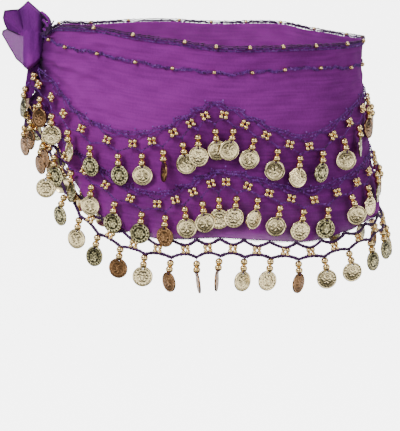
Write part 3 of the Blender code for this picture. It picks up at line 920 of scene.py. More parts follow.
# copies of one or two shapes at points, each with its own facing, size and material
def makeCopyTree():
    shapeLabels, metalLabels = ("First", "Second"), ("MetalA", "MetalB", "MetalC")
    sockets = [(label, "Object") for label in shapeLabels] + [(label, "Material") for label in metalLabels]
    tree, ids, given = newTree("copies", sockets)

    def field(name, kind):
        return addNode(tree, "GeometryNodeInputNamedAttribute", {"Name": name}, data_type=kind)

    def equal(name, number):
        sides = {"A": field(name, "INT"), "B": number}
        return addNode(tree, "FunctionNodeCompare", sides, data_type="INT", operation="EQUAL")

    ways = {0: field("facing", "FLOAT_VECTOR"), 1: field("upright", "FLOAT_VECTOR")}
    axes = addNode(tree, "FunctionNodeAxesToRotation", ways, primary_axis="Z", secondary_axis="Y")
    joined = tree.nodes.new("GeometryNodeJoinGeometry")
    for k, label in enumerate(shapeLabels):
        info = addNode(tree, "GeometryNodeObjectInfo", {"Object": given[label]})
        numbers = {
            "Points": given["Geometry"], "Selection": equal("pick", k), "Instance": info.outputs["Geometry"],
            "Rotation": axes, "Scale": field("size", "FLOAT"),
        }
        copies = addNode(tree, "GeometryNodeInstanceOnPoints", numbers)
        tree.links.new(copies.outputs[0], joined.inputs[0])
    shape = addNode(tree, "GeometryNodeRealizeInstances", {"Geometry": joined})
    for k, label in enumerate(metalLabels):
        numbers = {"Geometry": shape, "Selection": equal("metal", k), "Material": given[label]}
        shape = addNode(tree, "GeometryNodeSetMaterial", numbers)
    endTree(tree, shape)
    return tree, ids


chainTree, tubeTree, copyTree = makeChainTree(), makeTubeTree(), makeCopyTree()


def wireMesh(name, paths):
    points, outs, edges = [], [], []
    for path, out in paths:
        start = sum(len(p) for p in points)
        points.append(path)
        outs.append(np.broadcast_to(out, path.shape))
        edges += [(start + k, start + k + 1) for k in range(len(path) - 1)]
    mesh = bpy.data.meshes.new(name)
    mesh.from_pydata(np.concatenate(points).tolist(), edges, [])
    setValues(mesh, "outward", np.concatenate(outs), "FLOAT_VECTOR")
    return mesh


def panelPath(turns, drops, off):
    points = panelPoint(turns, drops * mm, off * mm)
    return points, outward(np.asarray(turns, float), points[:, 2])


def addChain(name, paths, nodes, pitch, length, thick, splay, thread):
    values = {"Pitch": pitch * mm, "Length": length * mm, "Thick": thick * mm, "Splay": math.radians(splay)}
    mesh = grow(name, wireMesh(name, paths), chainTree, {**values, "Thread": thread})
    addPiece(name, mesh, nodes)


# plain tubes all take the shaded plum thread, a darker copy of the thread painted as shade
def addTubes(name, paths, nodes, radius):
    values = {"Radius": radius * mm, "Thread": shadedCordThread}
    addPiece(name, grow(name, wireMesh(name, paths), tubeTree, values), nodes)


def addCopies(name, rows, nodes, shapes, metals):
    mesh = bpy.data.meshes.new(name)
    mesh.from_pydata([tuple(row["at"]) for row in rows], [], [])
    setValues(mesh, "facing", [tuple(row["facing"]) for row in rows], "FLOAT_VECTOR")
    setValues(mesh, "upright", [tuple(row["upright"]) for row in rows], "FLOAT_VECTOR")
    setValues(mesh, "size", [row["size"] for row in rows])
    setValues(mesh, "pick", [row.get("pick", 0) for row in rows], "INT")
    setValues(mesh, "metal", [row.get("metal", 0) for row in rows], "INT")
    setValues(mesh, "shade", [row.get("shade", 0.5) for row in rows])
    values = {"First": shapes[0], "Second": shapes[-1]}
    for k, label in enumerate(("MetalA", "MetalB", "MetalC")):
        values[label] = metals[min(k, len(metals) - 1)]
    addPiece(name, grow(name, mesh, copyTree, values), nodes)


def makeShape(name, mesh):
    made = bpy.data.objects.new(name, mesh)
    bpy.context.scene.collection.objects.link(made)
    return made


# a round bead of radius 1, drilled along its axis
def makeBead(name, segments, profile):
    angle = np.linspace(0, math.tau, segments, endpoint=False)
    circle = np.stack([np.cos(angle), np.sin(angle), 0 * angle], axis=-1)
    rows = [r * circle + np.array([0, 0, z]) for r, z in profile]
    rows.append(rows[0])
    mesh = gridMesh(name, np.stack(rows), closed=True)
    bm = bmesh.new()
    bm.from_mesh(mesh)
    bmesh.ops.remove_doubles(bm, verts=bm.verts, dist=1e-5)
    bmesh.ops.recalc_face_normals(bm, faces=bm.faces)
    bm.to_mesh(mesh)
    bm.free()
    return makeShape(name, smoothed(mesh))


beadProfiles = {
    "drop": ((0.24, 0.9), (0.62, 0.78), (0.92, 0.4), (1.0, 0.0), (0.92, -0.4), (0.62, -0.78), (0.24, -0.9)),
    "small": ((0.3, 0.88), (0.8, 0.6), (1.0, 0.0), (0.8, -0.6), (0.3, -0.88)),
}
dropBead = makeBead("dropBeadShape", 14, beadProfiles["drop"])
smallBead = makeBead("smallBeadShape", 10, beadProfiles["small"])


# a lump of thread where cords meet
def makeKnotBall():
    mesh = bpy.data.meshes.new("threadLumpShape")
    bm = bmesh.new()
    bmesh.ops.create_icosphere(bm, subdivisions=1, radius=1.0)
    rng = random.Random(4)
    for vertex in bm.verts:
        vertex.co *= 0.85 + 0.35 * rng.random()
    bm.to_mesh(mesh)
    bm.free()
    return makeShape("threadLumpShape", mesh)


threadLump = makeKnotBall()

# a stamped coin, in mm: raised rim, ring of dots or dashes, a line and a plain ornament; the back is smooth
coinForm = {
    "radius": 10.2,
    "half": 0.42,
    "segments": 48,
    "rings": (1.2, 2.2, 3.1, 3.9, 4.7, 5.6, 6.4, 7.0, 7.6, 8.2, 8.8, 9.3, 9.8, 10.2),
    "backFrom": 8.8,
    "rim": {"height": 0.45, "from": 8.7, "fallFrom": 9.8},
    "dots": {"heights": (0.12, 0.5), "at": 8.0, "width": 0.6, "count": 16},
    "line": {"height": 0.16, "at": 6.9, "width": 0.35},
    "ornament": {"height": 0.42, "upTo": 5.2},
    # seven rays that curl one way round a boss; a six-lobed ring round a wider boss
    "rays": {"count": 7, "curl": 0.85, "at": 3.6, "width": 1.6, "boss": 1.2},
    "lobes": {"count": 6, "turned": 0.4, "at": 3.7, "swing": 0.9, "width": 0.7, "boss": 1.7},
    "bossHeight": 0.9,
    "dish": 0.85,
    "stamped": 0.36,
    "holeRadius": 0.85,
    "holeUp": 8.1,
}


# a rounded ridge round the coin, and a boss in its middle
def ridge(radius, at, width):
    return np.exp(-(((radius - at) / width) ** 2))


def coinRelief(radius, angle, design):
    form = coinForm
    rim, dots, line = form["rim"], form["dots"], form["line"]
    raised = ease((radius - rim["from"]) / 0.5) * (1 - 0.3 * ease((radius - rim["fallFrom"]) / 0.4))
    dotted = ridge(radius, dots["at"], dots["width"]) * np.maximum(0, np.cos(dots["count"] * angle)) ** 2
    if design == 0:
        rays = form["rays"]
        ray = np.maximum(0, np.cos(rays["count"] * angle + rays["curl"] * radius)) ** 0.8
        ornament = ray * ridge(radius, rays["at"], rays["width"])
        ornament = ornament + form["bossHeight"] * ridge(radius, 0, rays["boss"])
    else:
        lobes = form["lobes"]
        scallop = lobes["at"] + lobes["swing"] * np.cos(lobes["count"] * angle + lobes["turned"])
        ornament = ridge(radius, scallop, lobes["width"])
        ornament = ornament + form["bossHeight"] * ridge(radius, 0, lobes["boss"])
    inner = 1 - ease(radius - form["ornament"]["upTo"])
    return np.maximum.reduce([
        rim["height"] * raised,
        dots["heights"][design] * dotted,
        line["height"] * ridge(radius, line["at"], line["width"]),
        form["ornament"]["height"] * ornament * inner,
    ])


# the stamped face and the smooth back are rings of points round a middle point, joined at the rim
def coinSide(bm, layer, side, design):
    form, count = coinForm, coinForm["segments"]
    angles = np.linspace(0, math.tau, count, endpoint=False) + math.pi / 2
    radii = [r for r in form["rings"] if side > 0 or r >= form["backFrom"]]
    radius, turn = np.meshgrid(radii, angles, indexing="ij")
    relief = coinRelief(radius, turn, design)
    height = side * (form["half"] + relief) - form["dish"] * (radius / form["radius"]) ** 2
    places = np.stack([radius * np.cos(turn), radius * np.sin(turn), height], axis=-1) * mm
    raised = form["ornament"]["height"] * 0.8 if side > 0 else 0.0
    middle = bm.verts.new((0, 0, side * (form["half"] + raised) * mm))
    middle[layer] = 0.8
    rings = []
    for row, heights in zip(places, relief):
        rings.append([bm.verts.new(place) for place in row])
        for vertex, value in zip(rings[-1], heights):
            vertex[layer] = min(1.0, value / form["stamped"])
    for k in range(count):
        after = (k + 1) % count
        faces = [(middle, rings[0][k], rings[0][after])]
        faces += [(a[k], b[k], b[after], a[after]) for a, b in zip(rings, rings[1:])]
        for corners in faces:
            bm.faces.new(corners if side > 0 else corners[::-1])
    return rings[-1]


def makeCoin(name, design):
    form, count = coinForm, coinForm["segments"]
    bm = bmesh.new()
    layer = bm.verts.layers.float.new("relief")
    face, back = (coinSide(bm, layer, side, design) for side in (1, -1))
    for k in range(count):
        after = (k + 1) % count
        bm.faces.new((face[k], back[k], back[after], face[after]))
    bmesh.ops.recalc_face_normals(bm, faces=bm.faces)
    mesh = bpy.data.meshes.new(name)
    bm.to_mesh(mesh)
    bm.free()
    coin = makeShape(name, smoothed(mesh))
    punch = bpy.data.meshes.new("punch")
    bm = bmesh.new()
    hole = form["holeRadius"] * mm
    place = Matrix.Translation((0, form["holeUp"] * mm, 0))
    bmesh.ops.create_cone(
        bm, cap_ends=True, segments=12, radius1=hole, radius2=hole, depth=6 * mm, matrix=place
    )
    bm.to_mesh(punch)
    bm.free()
    tool = makeShape("punch", punch)
    cut = coin.modifiers.new("hole", "BOOLEAN")
    cut.operation, cut.object, cut.solver = "DIFFERENCE", tool, "EXACT"
    made = evaluated(coin)
    bpy.data.objects.remove(tool)
    made.materials.clear()
    return makeShape(name, made)


coinShapes = [makeCoin("coinRaysShape", 0), makeCoin("coinLobesShape", 1)]
print("stage: node trees and shapes made")

# the crocheted edging, in degrees round the hips and mm: where its beads sit, its rows, its loose loops
edgeForm = {
    "ends": (6.5, 353.5),
    # pitch, length, thickness and splay of the stitches
    "topStitches": (1.75, 2.1, 0.6, 24),
    "braidStitches": (1.7, 2.4, 1.3, 26),
    "loopStitches": (1.8, 2.4, 0.95, 18),
    "secondStitches": (1.8, 2.2, 0.6, 22),
    "loopCore": 0.8,
    "threadEnd": 0.85,
    "topBeads": (
        50, 66.5, 84, 92.5, 103, 115, 129, 147.5, 166, 186, 205.5, 226.5, 242.5, 256.5, 268.5, 278.5, 298.5,
        317, 338.5, 350,
    ),
    "secondBeads": (
        17, 32, 51, 67, 80, 92, 104, 116, 132, 152, 168, 187, 207, 226, 243, 257, 270, 284, 300, 318,
        333, 347,
    ),
    "beadRadius": 2.3,
    "beadUp": 1.6,
    "beadOut": 2.6,
    "postEvery": 0.82,
    "postLean": 0.35,
    "loopsFrom": 200,
    "loopUp": 0.7,
    "smallLoops": (10.5, 12.5, 15, 18.5),
    # thread ends beside the knot: turns they run between, and drops
    "threadEnds": (
        (16, 18.5, 4, -6), (16.5, 21, 4, -7), (17, 23, 4, -6), (18, 25, 3, -7.5), (18, 26.5, 3, -3.5),
        (17, 23, 5, -1),
    ),
    "twist": 1.15,
    "picotEvery": 4.6,
    "picotWide": 3.1,
    "picotTall": 1.5,
}


def makeTopEdging(rng):
    form, node = edgeForm, ["trim_top"]
    turns = np.arange(*form["ends"], 0.5)
    wobble = 0.3 * np.sin(turns * 1.9) + 0.2 * np.sin(turns * 3.7 + 1)
    braid = panelPath(turns, -2.0 + wobble, 1.5)
    chains = [panelPath(turns, -0.4 + 0.2 * np.sin(turns * 2.3), 1.4)]
    chains.append(panelPath(turns, 2.2 + 0.35 * np.sin(turns * 2.9 + 2), 1.1))
    for k, turn in enumerate(np.arange(form["ends"][0] + 0.6, form["ends"][1], form["postEvery"])):
        lean = form["postLean"] if k % 2 else -form["postLean"]
        chains.append(panelPath(np.linspace(turn - lean, turn + lean, 3), np.linspace(-0.4, 2.1, 3), 1.2))
    addChain("topEdging", chains, node, *form["topStitches"], crochet)
    addChain("topBraid", [braid], node, *form["braidStitches"], shadedCordThread)
    loops = []
    beads = [turn for turn in form["topBeads"] if turn > form["loopsFrom"]]
    for start, end in zip(beads, beads[1:]):
        reach = (end - start) * rng.uniform(0.65, 0.85)
        begin = start + rng.uniform(0.08, 0.14) * (end - start)
        share = np.linspace(0, 1, 16)
        rise = rng.uniform(0.2, 1.5) * np.sin(np.pi * share) ** 0.5 + 0.3 * np.sin(9 * share)
        loops.append(panelPath(begin + reach * share, -form["loopUp"] - rise, 1.4))
    for at in form["smallLoops"]:
        share = np.linspace(0, 1, 10)
        rise = rng.uniform(1.5, 3.0) * np.sin(np.pi * share)
        loops.append(panelPath(at + 2.2 * share, -2.2 - rise, 1.6))
    addChain("looseLoops", loops, node, *form["loopStitches"], shadedCordThread)
    addTubes("looseLoopCores", loops, node, form["loopCore"])
    spikes = []
    for start, end, low, high in form["threadEnds"]:
        spikes.append(panelPath(np.linspace(start, end, 4), np.linspace(low, high, 4), 3.6))
    addTubes("looseThreadEnds", spikes, node, form["threadEnd"])


def makeSecondEdging(rng):
    form = edgeForm
    turns = np.arange(*form["ends"], 0.5)
    drift = 0.8 * np.sin(turns / 2.9) + 0.5 * np.sin(turns / 1.3 + 2) + 0.4 * np.sin(turns / 0.61)
    second = dropOf("second", turns) / mm + drift
    twist = form["twist"] * np.sin(turns * 1.35 + 0.8 * np.sin(turns / 5))
    rows = [panelPath(turns, second + twist, 1.3), panelPath(turns, second - twist, 1.2)]
    for start in np.arange(9, 350, form["picotEvery"]):
        share = np.linspace(0, 1, 8)
        span = start + form["picotWide"] * share
        base = dropOf("second", span) / mm + 0.8 * np.sin(span / 2.9) + 0.5 * np.sin(span / 1.3 + 2)
        side = rng.choice((-1, 1))  # each picot loops up or down
        rows.append(panelPath(span, base + side * form["picotTall"] * np.sin(np.pi * share), 1.2))
    addChain("secondEdging", rows, ["trim_second"], *form["secondStitches"], crochet)


def makeEdgingBeads(name, node, turns, drops):
    rows = []
    for turn, drop in zip(turns, drops):
        point = panelPoint(turn, drop, edgeForm["beadOut"] * mm)
        out = outward(np.float64(turn), point[2])
        across = np.cross((0, 0, 1), out)
        rows.append({"at": point, "facing": across, "upright": out, "size": edgeForm["beadRadius"] * mm})
    addCopies(name, rows, [node], [smallBead], [goldBead])


def makeEdging():
    rng = random.Random(21)
    makeTopEdging(rng)
    makeSecondEdging(rng)
    top, second = edgeForm["topBeads"], edgeForm["secondBeads"]
    makeEdgingBeads("topEdgingBeads", "trim_top", top, [-edgeForm["beadUp"] * mm] * len(top))
    onRow = [float(dropOf("second", turn)) for turn in second]
    makeEdgingBeads("secondEdgingBeads", "trim_second", second, onRow)


makeEdging()
print("stage: edging made")

# the three nets, in mm below each net's line; out and overs say how far each hangs free of the cloth
netForm = {
    "steps": 720,
    # the drops crowd together where the swags meet at the front
    "peakTurn": 91.0,
    "peakSpread": 18.0,
    "peakCrowding": 0.45,
    "headerOff": 2.0,
    "hangOver": 20.0,
    "standShare": ((0, 0.45), (16, 0.5), (34, 0.75), (50, 0.8), (180, 0.8)),
    "out": {"tier1": 5.0, "tier2": 6.0, "hem": 3.5},
    "overs": {
        "tier1": ((0, 14.5), (14, 14.5), (28, 10.5), (44, 6.5), (56, 5), (68, 0.5), (84, 0), (180, 0)),
        "tier2": ((0, 5.5), (14, 5.5), (28, 4), (44, 2.5), (56, 1.5), (68, 0.5), (84, 0), (180, 0)),
        "hem": ((0, 0), (180, 0)),
    },
    # the header: how far its two chains lie apart, how it steps over the swags' meeting, its cross stitches
    "headerApart": 1.3,
    "headerStep": {"least": 0.2, "more": 0.6, "spread": 17},
    "crossEvery": 0.15,
    "rootDrop": 0.7,
    "clusterTop": 5.8,
    "cluster": 10.0,
    "clusterLow": 13.8,
    "endCluster": 7.5,
    "clusterBead": 2.55,
    "clusterSpread": (2.35, 2.2),
    "joint": 17.2,
    "jointHang": 0.45,
    "sag": 0.7,
    "beadGap": 6.7,
    "beadLow": 27.9,
    "dropBead": 3.75,
    "hole": 32.1,
    "thread": 0.42,
    "hemCore": 1.5,
    "jointLump": 1.3,
    # a picot's lump: how far up it lies, from and to, how far it is sunk, its size
    "picot": {"up": (3.6, 5.0), "sunk": 0.9, "size": 0.95},
    # a drop without a look of its own: facing to either side at most, for 60%, 26% and 14% of the drops
    "plain": {
        "facing": (22, 48, 78), "kinds": (0.6, 0.86), "tilt": 7, "sway": 3, "hang": (-1, 2.5), "over": 1.6,
        "metals": (0, 0, 0, 0, 0, 1, 1, 2),
    },
    "loop": {"up": 1.1, "tall": 1.35, "wide": 1.0},
    "clear": 3.8,
}
netRows = {
    "tier1": {
        "node": "coin_tier_1",
        "drops": 40,
        "start": 10,
        "seed": 31,
        # place, shift along the line
        "shifts": (
            (0, 0), (2.5, -2), (3.5, -2), (4.5, 1.5), (5.5, 1.5), (6.5, -3), (7.5, -1.5), (8.5, -2),
            (9.5, -5), (10.5, -5.5), (11.5, -3), (12.5, -1), (13.5, 0.5), (14.5, -4.5), (15.5, -1.5),
            (16.5, -2), (17.5, 1.5), (19, 0), (39, 0),
        ),
        # drop, facing, tilt, sway, hang, lies over, metal
        "looks": (
            (0, -70, 4, 0, -1, 0, 1), (1, -42, 3, -1, -2, 0, 2), (2, -5, -4, 2, 0, 0, 0),
            (3, -67, 6, 4, -1, 0, 0), (4, -38, 0, 1, 1.5, 0, 1), (5, -33, 3, 2, 2, 0, 1),
            (6, -3, -2, 2, 2, 0, 0), (7, -75, 10, 2.5, 2.5, 0, 2), (8, -2, 4, 4, 5.5, 0, 0),
            (9, -18, -3, 1, 6, 2.4, 0), (10, 4, 2, 2.5, 6, 0, 0), (11, 12, -4, -5, 0, 2.2, 0),
            (12, 10, 3, -7, -1, 0, 0), (13, 2, 0, -4.5, 0, 0, 0), (14, 28, -2, -4, 0.5, 0, 0),
            (15, 47, 4, -5, 0, 0, 1), (16, 6, -3, -2.5, 0.5, 0, 0), (17, 80, 2, -4, 1.5, 0, 1),
            (18, 62, -4, -2, -5, 0, 2), (19, 78, 2, 0, -3, 0, 2), (20, 96, -3, 0, 0, 0, 1),
            (37, -76, 3, 0, 0, 0, 2), (38, -58, -4, 0, 1, 0, 1), (39, -66, 3, 0, 0, 1.8, 2),
        ),
    },
    "tier2": {
        "node": "coin_tier_2",
        "drops": 40,
        "start": 14,
        "seed": 57,
        "shifts": (
            (0, 0), (4.5, 0.6), (5.5, 3), (6.5, 5.8), (7.5, 2.4), (8.5, 1.3), (9.5, 1.6), (10.5, -3),
            (11.5, -1.4), (12.5, -1.3), (13.5, -3), (14.5, -5), (15.5, -4.5), (16.5, -2), (17.5, -3),
            (19, 0), (39, 0),
        ),
        "looks": (
            (0, -60, 3, 0, 0, 0, 2), (1, -57, -3, 2, 0, 0, 2), (2, -38, 2, 3, -2, 0, 1),
            (3, -65, 12, 2, -2, 0, 1), (4, -22, 0, -1, -1.5, 0, 0), (5, -28, 2, -2, 0, 0, 1),
            (6, -15, -3, -1.5, 0.5, 0, 1), (7, -38, 4, -1, 3, 0, 2), (8, 0, -2, 3, 1, 0, 0),
            (9, 8, 3, 3, 4.5, 2.2, 0), (10, -4, -2, 0.5, 6, 0, 0), (11, 10, 3, -4, 3, 2.2, 0),
            (12, 43, 0, -6, -1.5, 0, 0), (13, 3, -2, -6.5, 0, 0, 0), (14, 15, 2, -6, 0, 0, 0),
            (15, 18, -3, -5, 1.5, 0, 1), (16, 12, 3, 2, -2, 0, 0), (17, 54, -2, 3, 0, 0, 0),
            (18, 76, 3, 0, -2, 0, 1), (19, 84, -2, 0, 0, 0, 2), (38, -70, 3, 0, 0, 0, 2),
            (39, -52, -3, 0, 0, 0, 1),
        ),
    },
    "hem": {
        "node": "coin_tier_hem",
        "drops": 38,
        "start": 9,
        "seed": 83,
        "shifts": (
            (0, 0), (3.5, 4), (4.5, 1.6), (5.5, -3), (6.5, -6), (7.5, -7.5), (8.5, -3.1), (9.5, -3.2),
            (10.5, -0.5), (11.5, 0), (12.5, 2.6), (13.5, 0.2), (14.5, -3.3), (15.5, -1.3), (16.5, 0),
            (17.5, 1), (19, 0), (37, 0),
        ),
        "looks": (
            (0, -60, 0, 0, 0, 0, 2), (1, -57, 3, 1, 0, 0, 2), (2, -3, -2, 2, -1, 0, 0),
            (3, -50, 2, -3, 2, 0, 1), (4, -28, -2, -2, 0.5, 0, 0), (5, -36, 3, -3.5, -1, 0, 1),
            (6, -24, -3, -1.5, -2.5, 0, 2), (7, -2, 2, -2, -1, 0, 0), (8, -52, -3, -2, 0.5, 0, 2),
            (9, -81, 1, 0.5, 1.5, 0, 2), (10, 81, -1, -4, 0, 0, 2), (11, 38, 2, -3.5, 0, 0, 0),
            (12, 28, -2, -4.5, -1.5, 0, 0), (13, 54, 3, -3, -0.5, 0, 2), (14, 8, -3, 0, -1, 0, 0),
            (15, 15, 2, -1, 0, 0, 0), (16, 50, -2, 4, 0, 0, 1), (17, 57, 3, 5, -2, 0, 1),
            (36, -64, 2, 0, 0, 0, 1), (37, -50, -3, 0, 0, 0, 2),
        ),
    },
}
# pitch, length, thickness and splay of each net's stitches, and their threads; the hem's are the shaded plum
# copy
tierStitches = {"header": (1.85, 2.1, 0.56, 24, crochet), "cords": (1.9, 2.6, 0.72, 18, violetThread)}
hemStitches = {"header": (1.8, 2.2, 0.75, 22, shadedCordThread), "cords": (1.9, 2.6, 1.6, 18, shadedCordThread)}
upwards = np.array([0.0, 0.0, 1.0])


# how far points stand off the cloth, in mm
def standOff(points, turn):
    width = along(hipForm["girths"], points[:, 2] / mm) * mm
    power, deep = hipForm["roundness"], hipForm["depthShare"]
    flat, wide = np.abs(points[:, :2]), np.stack([width, width * deep], axis=-1)
    size = np.sum((flat / wide) ** power, axis=-1) ** (1 / power)
    steep = np.linalg.norm(size[:, None] ** (1 - power) * flat ** (power - 1) / wide**power, axis=-1)
    return ((size - 1) / steep - gatherHeight(turn)) / mm


# one net's line round the hips, and the frame of any point that hangs from it
class NetLine:
    def __init__(self, line):
        form = netForm
        self.line, self.rows = line, netRows[line]
        self.last = self.rows["drops"] - 1
        self.turns = np.linspace(self.rows["start"], 360 - self.rows["start"], form["steps"])
        steps = np.linalg.norm(np.diff(hipPoint(self.turns, self.height(self.turns)), axis=0), axis=1)
        self.lengths = np.concatenate(([0], np.cumsum(steps))) / mm
        near = fromKnot((self.turns[1:] + self.turns[:-1]) / 2)
        crowd = 1 + form["peakCrowding"] * np.exp(-(((near - form["peakTurn"]) / form["peakSpread"]) ** 2))
        total = np.concatenate(([0], np.cumsum(steps * crowd)))
        self.places = total / total[-1] * self.last

    def height(self, turn):
        return topHeight(turn) - dropOf(self.line, turn)

    def turnAt(self, place):
        shifts = np.array(self.rows["shifts"], dtype=float)
        length = np.interp(place, self.places, self.lengths) + np.interp(place, shifts[:, 0], shifts[:, 1])
        return np.interp(length, self.lengths, self.turns)

    def frame(self, turn, drop, aside=0.0):
        turn, drop = np.broadcast_arrays(np.asarray(turn, float), np.asarray(drop, float))
        form = netForm
        height = self.height(turn) - drop * mm
        swing = form["out"][self.line] + along(form["overs"][self.line], fromKnot(turn))
        swing = swing * along(form["standShare"], fromKnot(turn))
        off = form["headerOff"] * mm + gatherHeight(turn) + swing * ease(drop / form["hangOver"]) * mm
        point = hipPoint(turn, height, off)
        across = unit(hipPoint(turn + 1, height, off) - hipPoint(turn - 1, height, off))
        up = unit(hipPoint(turn, height + mm, off) - hipPoint(turn, height - mm, off))
        return point + across * aside * mm, across, up, unit(np.cross(across, up))

    def path(self, turn, drops):
        point, _, _, out = self.frame(turn, drops)
        return point, out


# two chains, stepped where the drops crowd, with cross stitches between; the hem has one plain chain
def headerPaths(net):
    form, step = netForm, netForm["headerStep"]
    places = np.arange(0, net.last + 0.01, 0.06)
    turn = net.turnAt(places)
    if net.line == "hem":
        return [net.path(turn, 0.35 * np.sin(places * 7.3))]
    part = places - np.floor(places)
    stepped = net.turnAt(np.floor(places) + ease((part - 0.34) / 0.32))
    near = (fromKnot(turn) - form["peakTurn"]) / step["spread"]
    weight = step["least"] + step["more"] * np.exp(-(near**2))
    rise = (net.height(stepped) - net.height(turn)) / mm * weight
    paths = []
    for level in (-form["headerApart"], form["headerApart"]):
        paths.append(net.path(turn, level + 0.35 * np.sin(places * 7.3 + level) - rise))
    for at in np.arange(0.05, net.last, form["crossEvery"]):
        span = at + np.array([-0.04, 0, 0.04])
        drops = np.array([-1.2, 0, 1.2]) - np.interp(span, places, rise)
        paths.append(net.path(np.interp(span, places, turn), drops))
    return paths


# a drop's own look, or a random one where none is given; facing is from the front, or from the cloth
def dropLooks(net, rng):
    looks = {row[0]: row[1:] for row in net.rows["looks"]}
    plain, drops = netForm["plain"], []
    for k in range(net.last + 1):
        if k in looks:
            yaw, tilt, sway, hang, over, metal = looks[k]
        else:
            most = plain["facing"][int(np.searchsorted(plain["kinds"], rng.random(), "right"))]
            yaw, tilt = rng.uniform(-most, most), rng.uniform(-plain["tilt"], plain["tilt"])
            sway, hang = rng.uniform(-plain["sway"], plain["sway"]), rng.uniform(*plain["hang"])
            over, metal = plain["over"] * (k % 2), rng.choice(plain["metals"])
        drops.append({
            "yaw": math.radians(yaw), "tilt": math.radians(tilt), "sway": sway, "hang": hang, "over": over,
            "metal": metal, "fromFront": k in looks, "turn": float(net.turnAt(k)),
        })
    return drops


# four beads in a square
def beadCluster(middle, side, rise, out, rng):
    wide, tall = netForm["clusterSpread"]
    made = []
    for sx, sy in ((-1, -1), (-1, 1), (1, -1), (1, 1)):
        at = middle + (side * sx * wide + rise * sy * tall + out * rng.uniform(-0.2, 0.3)) * mm
        facing = unit(side + rise * rng.uniform(-0.4, 0.4))
        size = netForm["clusterBead"] * mm * rng.uniform(0.95, 1.05)
        made.append({"at": at, "facing": facing, "upright": out, "pick": 1, "size": size})
    return made


# the cords between two drops: down to the cluster, and from it to each drop's joint
def spanCords(net, k, drops):
    form, share, half = netForm, np.linspace(0, 1, 13), np.linspace(0, 1, 7)
    bow = 1 - np.abs(2 * share - 1) ** 1.5
    dip = form["rootDrop"] + (form["clusterTop"] - form["rootDrop"]) * bow
    cords = [net.path(net.turnAt(k + share), dip)]
    for way, drop in ((1, drops[k + 1]), (-1, drops[k])):
        joint = form["joint"] + form["jointHang"] * drop["hang"]
        low = form["clusterLow"] + (joint - form["clusterLow"]) * half - form["sag"] * np.sin(np.pi * half)
        cords.append(net.path(net.turnAt(k + 0.5 + way * 0.5 * half), low))
    return cords


# the cluster lies along its stretch of the net
def spanBeads(net, k, rng):
    middle, across, up, out = net.frame(net.turnAt(k + 0.5), netForm["cluster"])
    way = net.frame(net.turnAt(k + 0.7), 0)[0] - net.frame(net.turnAt(k + 0.3), 0)[0]
    slope = math.atan2(way @ up, way @ across) + math.radians(rng.uniform(-9, 9))
    side = across * math.cos(slope) + up * math.sin(slope)
    return beadCluster(middle, side, up * math.cos(slope) - across * math.sin(slope), out, rng)


# a picot of thread above the header
def spanPicot(net, k, rng):
    form = netForm["picot"]
    up = net.frame(net.turnAt(k + 0.5), netForm["cluster"])[2]
    at, _, _, out = net.frame(net.turnAt(k + 0.46 + 0.08 * rng.random()), -rng.uniform(*form["up"]))
    lump = {"at": at - out * form["sunk"] * mm, "facing": out, "upright": up, "size": form["size"] * mm}
    return {**lump, "shade": rng.uniform(0.7, 1.0)}


def circleRound(middle, first, second, steps):
    angle = np.linspace(0, math.tau, steps)[:, None]
    return middle + (first * np.cos(angle) + second * np.sin(angle)) * mm


# which way a coin faces and hangs: its front, its upper side and the level line across it
def coinTurn(drop, across, out, rng):
    yaw, base = drop["yaw"], np.array([0, -1.0, 0]) if drop["fromFront"] else out
    cos, sin = math.cos(yaw), math.sin(yaw)
    facing = np.array([base[0] * cos - base[1] * sin, base[0] * sin + base[1] * cos, 0])
    lean = math.atan2(0.22 * drop["sway"], 4.3) * 0.7 + drop["tilt"]  # a swayed drop leans as it hangs
    level = np.cross(upwards, facing)
    if level @ across < 0:
        lean = -lean
    upright = upwards * math.cos(lean) - level * math.sin(lean)
    facing = unit(facing + upwards * rng.uniform(-0.12, 0.14))
    return facing, unit(upright - facing * (upright @ facing)), level


# one drop: its joint, two beads, thread, loop and coin, held clear of the cloth
def hangDrop(net, drop, rng, made):
    form, coin, loop = netForm, coinForm, netForm["loop"]
    sway, hang = drop["sway"], drop["hang"]
    # how far down the joint, the beads and the hole hang, and the share of the sway there
    spots = (
        (form["joint"] + form["jointHang"] * hang, 0.08), (form["beadLow"] - form["beadGap"] + hang, 0.3),
        (form["beadLow"] + hang, 0.58), (form["hole"] + hang, 0.8),
    )
    frames = [net.frame(drop["turn"], down, sway * part) for down, part in spots]
    joint, first, second, hole = (each[0] for each in frames)
    across, out = frames[3][1], frames[3][3]
    flatOut = unit(out * np.array([1, 1, 0]))
    facing, upright, level = coinTurn(drop, across, flatOut, rng)
    centre = hole - upright * coin["holeUp"] * mm
    radius = coin["radius"]
    rim = circleRound(centre, np.cross(upright, facing) * radius, upright * radius, 17)
    clear = max(0, form["clear"] - float(standOff(rim, drop["turn"]).min())) + drop["over"]
    second = second + flatOut * 0.5 * clear * mm
    hole, centre = hole + flatOut * clear * mm, centre + flatOut * clear * mm
    pick = 1 if drop["metal"] == 1 else rng.choice((0, 0, 0, 1))
    placed = {"at": centre, "facing": facing, "upright": upright, "size": 1.0}
    made["coins"].append({**placed, "metal": drop["metal"], "pick": pick})
    strand = unit(second - first)
    first = second - strand * form["beadGap"] * mm
    for spot in (first, second):
        bead = {"at": spot, "facing": strand, "upright": out, "size": form["dropBead"] * mm}
        made["beads"].append(bead)
    lump = {"at": joint, "facing": out, "upright": frames[0][2], "size": form["jointLump"] * mm}
    made["lumps"].append({**lump, "shade": rng.uniform(0.1, 0.6)})
    middle = hole + upright * loop["up"] * mm
    made["threads"].append((np.stack([joint, first, second, middle + upright * 0.9 * mm]), out))
    made["threads"].append((circleRound(middle, upright * loop["tall"], facing * loop["wide"], 13), level))


